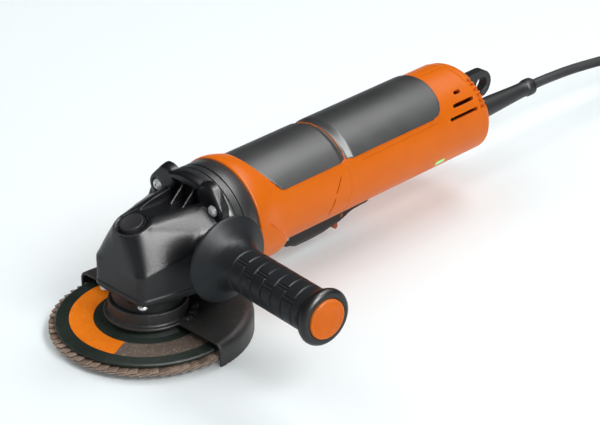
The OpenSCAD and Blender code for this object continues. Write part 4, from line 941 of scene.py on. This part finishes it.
# node: grooves as (x, angle above the level) of both ends, side, width, depth
barrelGrooves = {
    "motor_housing": [
        (start, end, side, 1.0, 1.3)
        for start, end in (((138.2, 16.3), (132.9, -1.6)), ((132.2, -7.5), (129.8, -31.0))) for side in (-1, 1)
    ],
    "handle_shell_left": [((158.0, 23.6), (230.0, 24.4), -1, 0.5, 0.35)],
    "handle_shell_right": [((158.0, 23.6), (230.0, 24.4), 1, 0.5, 0.35)],
}


def barrelGrooveCutter(start, end, side, width, depth):
    steps = 10
    places = [Vector(start).lerp(Vector(end), i / steps) for i in range(steps + 1)]
    outward, line = [], []
    for x, degrees in places:
        angle = math.radians(degrees)
        outward.append(Vector((0, side * math.cos(angle), math.sin(angle))))
        line.append(Vector((x, 0, axisHeight)) + outward[-1] * barrelRadius)
    across = (line[-1] - line[0]).cross(outward[steps // 2]).normalized() * width / 2
    sections = [
        (p - o * depth - across, p - o * depth + across, p + o * 2 + across, p + o * 2 - across)
        for p, o in zip(line, outward)
    ]
    return prism("barrelGroove", sections)


for name, nodeName, voxel, passes, share, finishName, slotName, fix in barrelPieces:
    mesh = softened(nodeName, voxel, passes, share, fix)
    if nodeName in barrelGrooves:
        mesh = carved(mesh, [barrelGrooveCutter(*groove) for groove in barrelGrooves[nodeName]])
    addPiece(name, mesh, "tool", [nodeName], [finishName])
    print(name, len(mesh.polygons))


# ---- gearbox ring between the case and the collar
ringOutline = [
    (40.05, 14.2), (40.05, 36.6), (40.5, 37.1), (43.9, 37.2), (44.3, 36.6), (45.0, 36.5), (45.4, 37.0),
    (49.6, 36.9), (50.0, 36.0), (51.0, 36.0), (51.4, 36.7), (61.2, 36.9), (61.6, 36.5), (61.6, 14.2),
]
ringMesh = turned("gearboxRing", ringOutline, (0, 0, axisHeight), (1, 0, 0), 160)
addPiece("gearboxRing", ringMesh, "tool", ["gearbox_plate"], ["plateBlack"])


# ---- mouldings and small castings, each softened from its solid
mouldings = [
    # piece, node, body, voxel, passes, finish, slot
    ("lockButton", "lock_button", "lock_button", 0.35, 2, "coreNylon", "button_black"),
    ("spindleNeck", "bearing_flange", "tool", 0.6, 2, "caseWall", "case_black"),
    ("turningGuard", "guard", "guard", 0.5, 2, "guardPaint", "guard_black"),
    ("paddleSwitch", "paddle", "paddle", 0.45, 2, "paddleNylon", "paddle_black"),
    ("lockOffLever", "lock_off_lever", "lock_off_lever", 0.3, 2, "leverOrange", "lever_orange"),
    ("hangingEye", "hanging_eye", "tool", 0.35, 3, "eyeNylon", "eye_black"),
    ("handleCore", "side_handle_core", "tool", 0.6, 2, "coreNylon", "core_black"),
    ("plugBody", "plug_body", "tool", 0.6, 6, "plugBlack", "plug_black"),
    ("plugPins", "plug_pins", "tool", 0.3, 2, "groundSteel", "ground_steel"),
    ("coilTie", "coil_tie", "tool", 0.5, 2, "coreNylon", "core_black"),
]
for name, nodeName, body, voxel, passes, finishName, slotName in mouldings:
    mesh = softened(nodeName, voxel, passes)
    addPiece(name, mesh, body, [nodeName], [finishName])
    print(name, len(mesh.polygons))


# ---- disc
discShape = {"flaps": 60, "ring": 50.0, "length": 24.4, "width": 12.0, "thickness": 0.9, "tilt": 13.0,
             "sway": 0.035, "height": 5.1, "seed": 7}
machined = [
    # piece, node, body, bevel, finish, slot
    ("discBacking", "disc_backing", "wheel", 0.3, "backingFibre", "backing_green"),
    ("discLabel", "disc_label", "wheel", 0.05, "labelPaper", "label_orange"),
    ("innerFlange", "inner_flange", "wheel", 0.3, "groundSteel", "ground_steel"),
    ("clampingNut", "clamping_nut", "wheel", 0.3, "nutSteel", "nut_steel"),
    ("spindleBar", "spindle", "wheel", 0.25, "groundSteel", "ground_steel"),
    ("handleStud", "side_handle_stud", "tool", 0.4, "groundSteel", "ground_steel"),
    ("statusLens", "status_lens", "tool", 0.2, "lensGreen", "lens_green"),
]
for name, nodeName, body, width, finishName, slotName in machined:
    addPiece(name, bevelled(nodeName, width), body, [nodeName], [finishName])


def newTree(name, **inputs):
    tree = bpy.data.node_groups.new(name, "GeometryNodeTree")
    for side in ("INPUT", "OUTPUT"):
        tree.interface.new_socket("Geometry", in_out=side, socket_type="NodeSocketGeometry")
    for kind, labels in inputs.items():
        for label in labels:
            tree.interface.new_socket(label, in_out="INPUT", socket_type="NodeSocket" + kind)
    return tree, tree.nodes.new("NodeGroupInput").outputs, partial(wired, tree)


def closeTree(tree, geometry, finish):
    covered = wired(tree, "GeometryNodeSetMaterial", {"Geometry": geometry, "Material": finish})
    feed(tree.nodes.new("NodeGroupOutput"), {"Geometry": covered})
    return tree


def runTree(tree, mesh, values):
    holder = linked("working", mesh)
    modifier = holder.modifiers.new("nodes", "NODES")
    modifier.node_group = tree
    for item in tree.interface.items_tree:
        if item.in_out == "INPUT" and item.name in values:
            modifier[item.identifier] = values[item.name]
    return evaluated(holder)


def flapTree(sway):
    tree, given, add = newTree(
        "flapPack", Int=("Count", "Seed"), Float=("Ring", "Length", "Width", "Thickness", "Tilt"),
        Vector=("Centre",), Material=("Finish",),
    )
    ring = add("GeometryNodeMeshCircle", {"Vertices": given["Count"], "Radius": given["Ring"]})
    size = add("ShaderNodeCombineXYZ", {"X": given["Length"], "Y": given["Width"], "Z": given["Thickness"]})
    flap = add("GeometryNodeMeshCube", {"Vertices X": 5, "Vertices Y": 4, "Size": size})
    step = add("ShaderNodeMath", {0: 2 * math.pi, 1: given["Count"]}, operation="DIVIDE")
    angle = add("ShaderNodeMath", {0: add("GeometryNodeInputIndex"), 1: step}, operation="MULTIPLY")
    swayed = add("FunctionNodeRandomValue", {2: -sway, 3: sway, "Seed": given["Seed"]}, 1)
    tilt = add("ShaderNodeMath", {0: given["Tilt"], 1: swayed}, operation="ADD")
    turn = add("ShaderNodeCombineXYZ", {"X": tilt, "Z": angle})
    flaps = add("GeometryNodeInstanceOnPoints", {"Points": ring, "Instance": flap, "Rotation": turn})
    shade = add("FunctionNodeRandomValue", {"Seed": given["Seed"]}, 1)
    inputs = {"Geometry": flaps, "Name": "flapShade", "Value": shade}
    shaded = add("GeometryNodeStoreNamedAttribute", inputs, domain="INSTANCE")
    real = add("GeometryNodeRealizeInstances", {"Geometry": shaded})
    moved = add("GeometryNodeTransform", {"Geometry": real, "Translation": given["Centre"]})
    return closeTree(tree, moved, given["Finish"])


flapMesh = runTree(flapTree(discShape["sway"]), bpy.data.meshes.new("flapSeed"), {
    "Count": discShape["flaps"], "Ring": discShape["ring"] * mm, "Length": discShape["length"] * mm,
    "Width": discShape["width"] * mm, "Thickness": discShape["thickness"] * mm,
    "Tilt": math.radians(discShape["tilt"]), "Centre": at(0, 0, discShape["height"]), "Seed": discShape["seed"],
    "Finish": flapCloth,
})
addPiece("flapPack", flapMesh, "wheel", ["disc_flaps"])
print("flaps", len(flapMesh.polygons))

# the printed ring carries on past the label as a bare, fibrous ring
bareShape = {
    "inner": 34.5, "outer": 49.5, "low": 9.7, "high": 9.78, "from": 203.0, "over": 160.0, "steps": 80,
}
bareMesh = smoothShade(arcBar("bareRing", bareShape), 30)
addPiece("bareRing", bareMesh, "wheel", [], ["bareRing"])


# ---- screws: a domed head with a hexagon socket on its shank, set wherever a screw sits
# shares of the head's radius
screwShape = {"socket": 0.32, "socketDepth": 1.2, "socketAt": 0.95, "flat": 0.66, "rise": 0.05}


def screwTree(shape):
    tree, given, add = newTree("screwSet", Float=("Head", "Shank", "Length"), Material=("Finish",))

    def scaled(socket, factor):
        return add("ShaderNodeMath", {0: socket, 1: factor}, operation="MULTIPLY")

    def raised(geometry, height, flat=1.0):
        offset = add("ShaderNodeCombineXYZ", {"Z": height})
        return add("GeometryNodeTransform", {"Geometry": geometry, "Translation": offset, "Scale": (1, 1, flat)})

    def bar(sides, radius, depth):
        return add("GeometryNodeMeshCylinder", {"Vertices": sides, "Radius": radius, "Depth": depth})

    head, length = given["Head"], given["Length"]
    dome = add("GeometryNodeMeshUVSphere", {"Segments": 28, "Rings": 14, "Radius": head})
    socket = bar(6, scaled(head, shape["socket"]), scaled(head, shape["socketDepth"]))
    cut = add("GeometryNodeMeshBoolean", {
        "Mesh 1": raised(dome, scaled(head, shape["rise"]), shape["flat"]),
        "Mesh 2": raised(socket, scaled(head, shape["socketAt"])),
    }, operation="DIFFERENCE")
    shank = raised(bar(20, given["Shank"], length), scaled(length, -0.5))
    both = add("GeometryNodeJoinGeometry", {"Geometry": [cut, shank]})
    facing = add("GeometryNodeInputNamedAttribute", {"Name": "facing"}, "Attribute", data_type="FLOAT_VECTOR")
    align = add("FunctionNodeAlignRotationToVector", {"Vector": facing}, axis="Z")
    inputs = {"Points": given["Geometry"], "Instance": both, "Rotation": align}
    screws = add("GeometryNodeInstanceOnPoints", inputs)
    return closeTree(tree, add("GeometryNodeRealizeInstances", {"Geometry": screws}), given["Finish"])


screwSets = [
    {
        "name": "caseScrews", "node": "gear_case_screws", "slot": "screw_steel", "finish": "brightZinc",
        "head": 3.8, "shank": 2.0, "length": 12.0, "facing": (-1, 0, 0),
        "places": [(33.5, s * 25, axisHeight + t * 22.5) for s in (-1, 1) for t in (-1, 1)],
    },
    {
        "name": "neckScrews", "node": "bearing_flange_screws", "slot": "screw_steel", "finish": "brightZinc",
        "head": 3.2, "shank": 1.5, "length": 9.0, "facing": (0, 0, -1),
        "places": [(s * 19.5, t * 17.5, 31.0) for s in (-1, 1) for t in (-1, 1)],
    },
    {
        "name": "shellScrews", "node": "handle_screws", "slot": "dark_steel", "finish": "darkSteel",
        "head": 3.0, "shank": 1.5, "length": 28.0, "facing": (0, 1, 0),
        "places": [(197, 18, 37.5), (236, 18, 37.5), (268, 18, 80)],
    },
]
screws = screwTree(screwShape)
for kit in screwSets:
    seats = bpy.data.meshes.new(kit["name"])
    seats.from_pydata([at(*p) for p in kit["places"]], [], [])
    facing = seats.attributes.new("facing", "FLOAT_VECTOR", "POINT")
    facing.data.foreach_set("vector", [c for _ in kit["places"] for c in kit["facing"]])
    mesh = runTree(screws, seats, {
        "Head": kit["head"] * mm, "Shank": kit["shank"] * mm, "Length": kit["length"] * mm,
        "Finish": finishes[kit["finish"]],
    })
    addPiece(kit["name"], smoothShade(mesh, 35), "tool", [kit["node"]])
    print(kit["name"], len(mesh.polygons))


# ---- side handle: flared guard, grip with stepped grooves, round rim and plain cap
handleShape = {
    "steps": 216,
    "outline": [
        (51.4, 26.1), (51.4, 27.5), (51.9, 28.0), (52.6, 28.1), (53.4, 27.7), (54.3, 26.4), (55.6, 24.2),
        (57.2, 21.8), (59.1, 19.1), (61.4, 16.8), (64.0, 15.4), (67.0, 14.5), (70.0, 14.1),
        (131.0, 14.0), (133.5, 14.3), (136.0, 15.6), (138.4, 17.1), (140.3, 17.85), (141.9, 17.85),
        (143.3, 17.2), (144.3, 16.0), (144.5, 14.6), (144.5, 13.2), (144.1, 12.75), (140.5, 12.7),
        (140.5, 8.5), (61.4, 8.5), (61.4, 10.0), (58.4, 12.0), (55.4, 16.4), (53.6, 22.1),
    ],
    "grooveFrom": 72.4, "groovePitch": 9.2, "grooves": 7, "grooveWidth": 1.0, "grooveDepth": 0.75,
    "gripRadius": 14.0, "jogs": ((60, 50), (38, 30)), "fineStep": 0.4, "rimFrom": 136.4,
}


def grooveDepthAt(sizes):
    half, radius = sizes["grooveWidth"] / 2, sizes["gripRadius"]
    lines = [sizes["grooveFrom"] + sizes["groovePitch"] * k for k in range(sizes["grooves"])]

    def depth(along, angle):
        if not lines[0] - 2 < along < lines[-1] + 2:
            return 0.0
        angle %= 180
        nearest = 9.0
        for k, line in enumerate(lines):
            low, high = sizes["jogs"][k % 2]
            # ring, open between its two jogs, then the two short lines back to the ring before
            gap = 0.0
            if high < angle < low:
                gap = math.radians(min(angle - high, low - angle)) * radius
            nearest = min(nearest, math.hypot(along - line, gap))
            if k:
                before = lines[k - 1]
                past = max(before - along, along - line, 0)
                for jog in (low, high):
                    nearest = min(nearest, math.hypot(math.radians(angle - jog) * radius, past))
        return sizes["grooveDepth"] * (1 - easeBetween(half - 0.25, half + 0.25, nearest))

    return depth


def handleProfile(sizes):
    # the straight part of the grip gets close rows for its grooves
    rows = []
    outline = sizes["outline"]
    for a, b in zip(outline, outline[1:] + outline[:1]):
        long = abs(b[0] - a[0]) > 20 and a[1] > 12
        parts = round(abs(b[0] - a[0]) / sizes["fineStep"]) if long else 3
        rows += [(a[0] + (b[0] - a[0]) * i / parts, a[1] + (b[1] - a[1]) * i / parts) for i in range(parts)]
    return rows


axisOfHandle = handleAxis(-1)
gripMesh = turned("handleGrip", handleProfile(handleShape), handleBase, axisOfHandle,
                  handleShape["steps"], grooveDepthAt(handleShape))
addPiece("handleGrip", gripMesh, "tool", ["side_handle_grip"], ["gripRubber", "rimRubber"])
for face in gripMesh.polygons:
    if (face.center - at(*handleBase)).dot(Vector(axisOfHandle)) > handleShape["rimFrom"] * mm:
        face.material_index = 1
capOutline = [
    (140.5, 0.0), (140.5, 12.6), (144.9, 12.6), (145.5, 12.3), (145.8, 11.6), (145.75, 10.9), (145.55, 10.6),
    (145.55, 10.3), (145.8, 10.0), (145.95, 6.0), (146.0, 0.0),
]
capMesh = turned("handleCap", capOutline, handleBase, axisOfHandle, 120)
addPiece("handleCap", capMesh, "tool", ["side_handle_cap"], ["capOrange"])
print("side handle", len(gripMesh.polygons))


# ---- strain relief: tapered boot with a ring near its end
bootOutline = [
    (272.0, 0.0), (272.0, 9.3), (278.0, 9.3), (278.0, 7.8), (289.0, 7.8), (300.0, 7.4), (315.0, 6.8),
    (330.0, 6.15), (345.0, 5.5), (352.6, 5.3), (353.4, 5.6), (354.2, 6.05), (355.4, 6.2), (359.0, 6.2),
    (360.2, 6.05), (361.0, 5.6), (361.5, 4.6), (361.5, 0.0),
]
leadDrop = 13.5  # the lead leaves this far below the motor's axis
bootMesh = turned("leadBoot", bootOutline, (0, 0, axisHeight - leadDrop), (1, 0, 0), 64)
addPiece("leadBoot", bootMesh, "tool", ["strain_relief"], ["bootRubber"])


# ---- solids that stay, with their finishes
innerFinishes = {
    "bronze": ["case_bush"],
    "springSteel": ["lock_button_spring", "paddle_spring"],
    "groundSteel": ["spindle_bearing", "front_motor_bearing", "rear_motor_bearing", "rotor_shaft", "paddle_pin"],
    "gearSteel": ["crown_wheel", "pinion"],
    "fanNylon": ["fan"],
    "laminations": ["rotor_core"],
    "magnetCoat": ["rotor_magnets"],
    "windingCopper": ["stator"],
    "pottingGreen": ["electronics_module"],
    "coreNylon": ["switch_block"],
}
for finishName, nodeNames in innerFinishes.items():
    for nodeName in nodeNames:
        nodes[nodeName].data.materials.clear()
        nodes[nodeName].data.materials.append(finishes[finishName])


# ---- the lead goes on the tool's body with the other pieces, in place of the lead's solids
powerLead.data.materials.append(finishes["leadRubber"])
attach(powerLead, "tool")
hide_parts("lead_tube", "lead_coil", "lead_tail")
print(len(made) + 1, "pieces made")
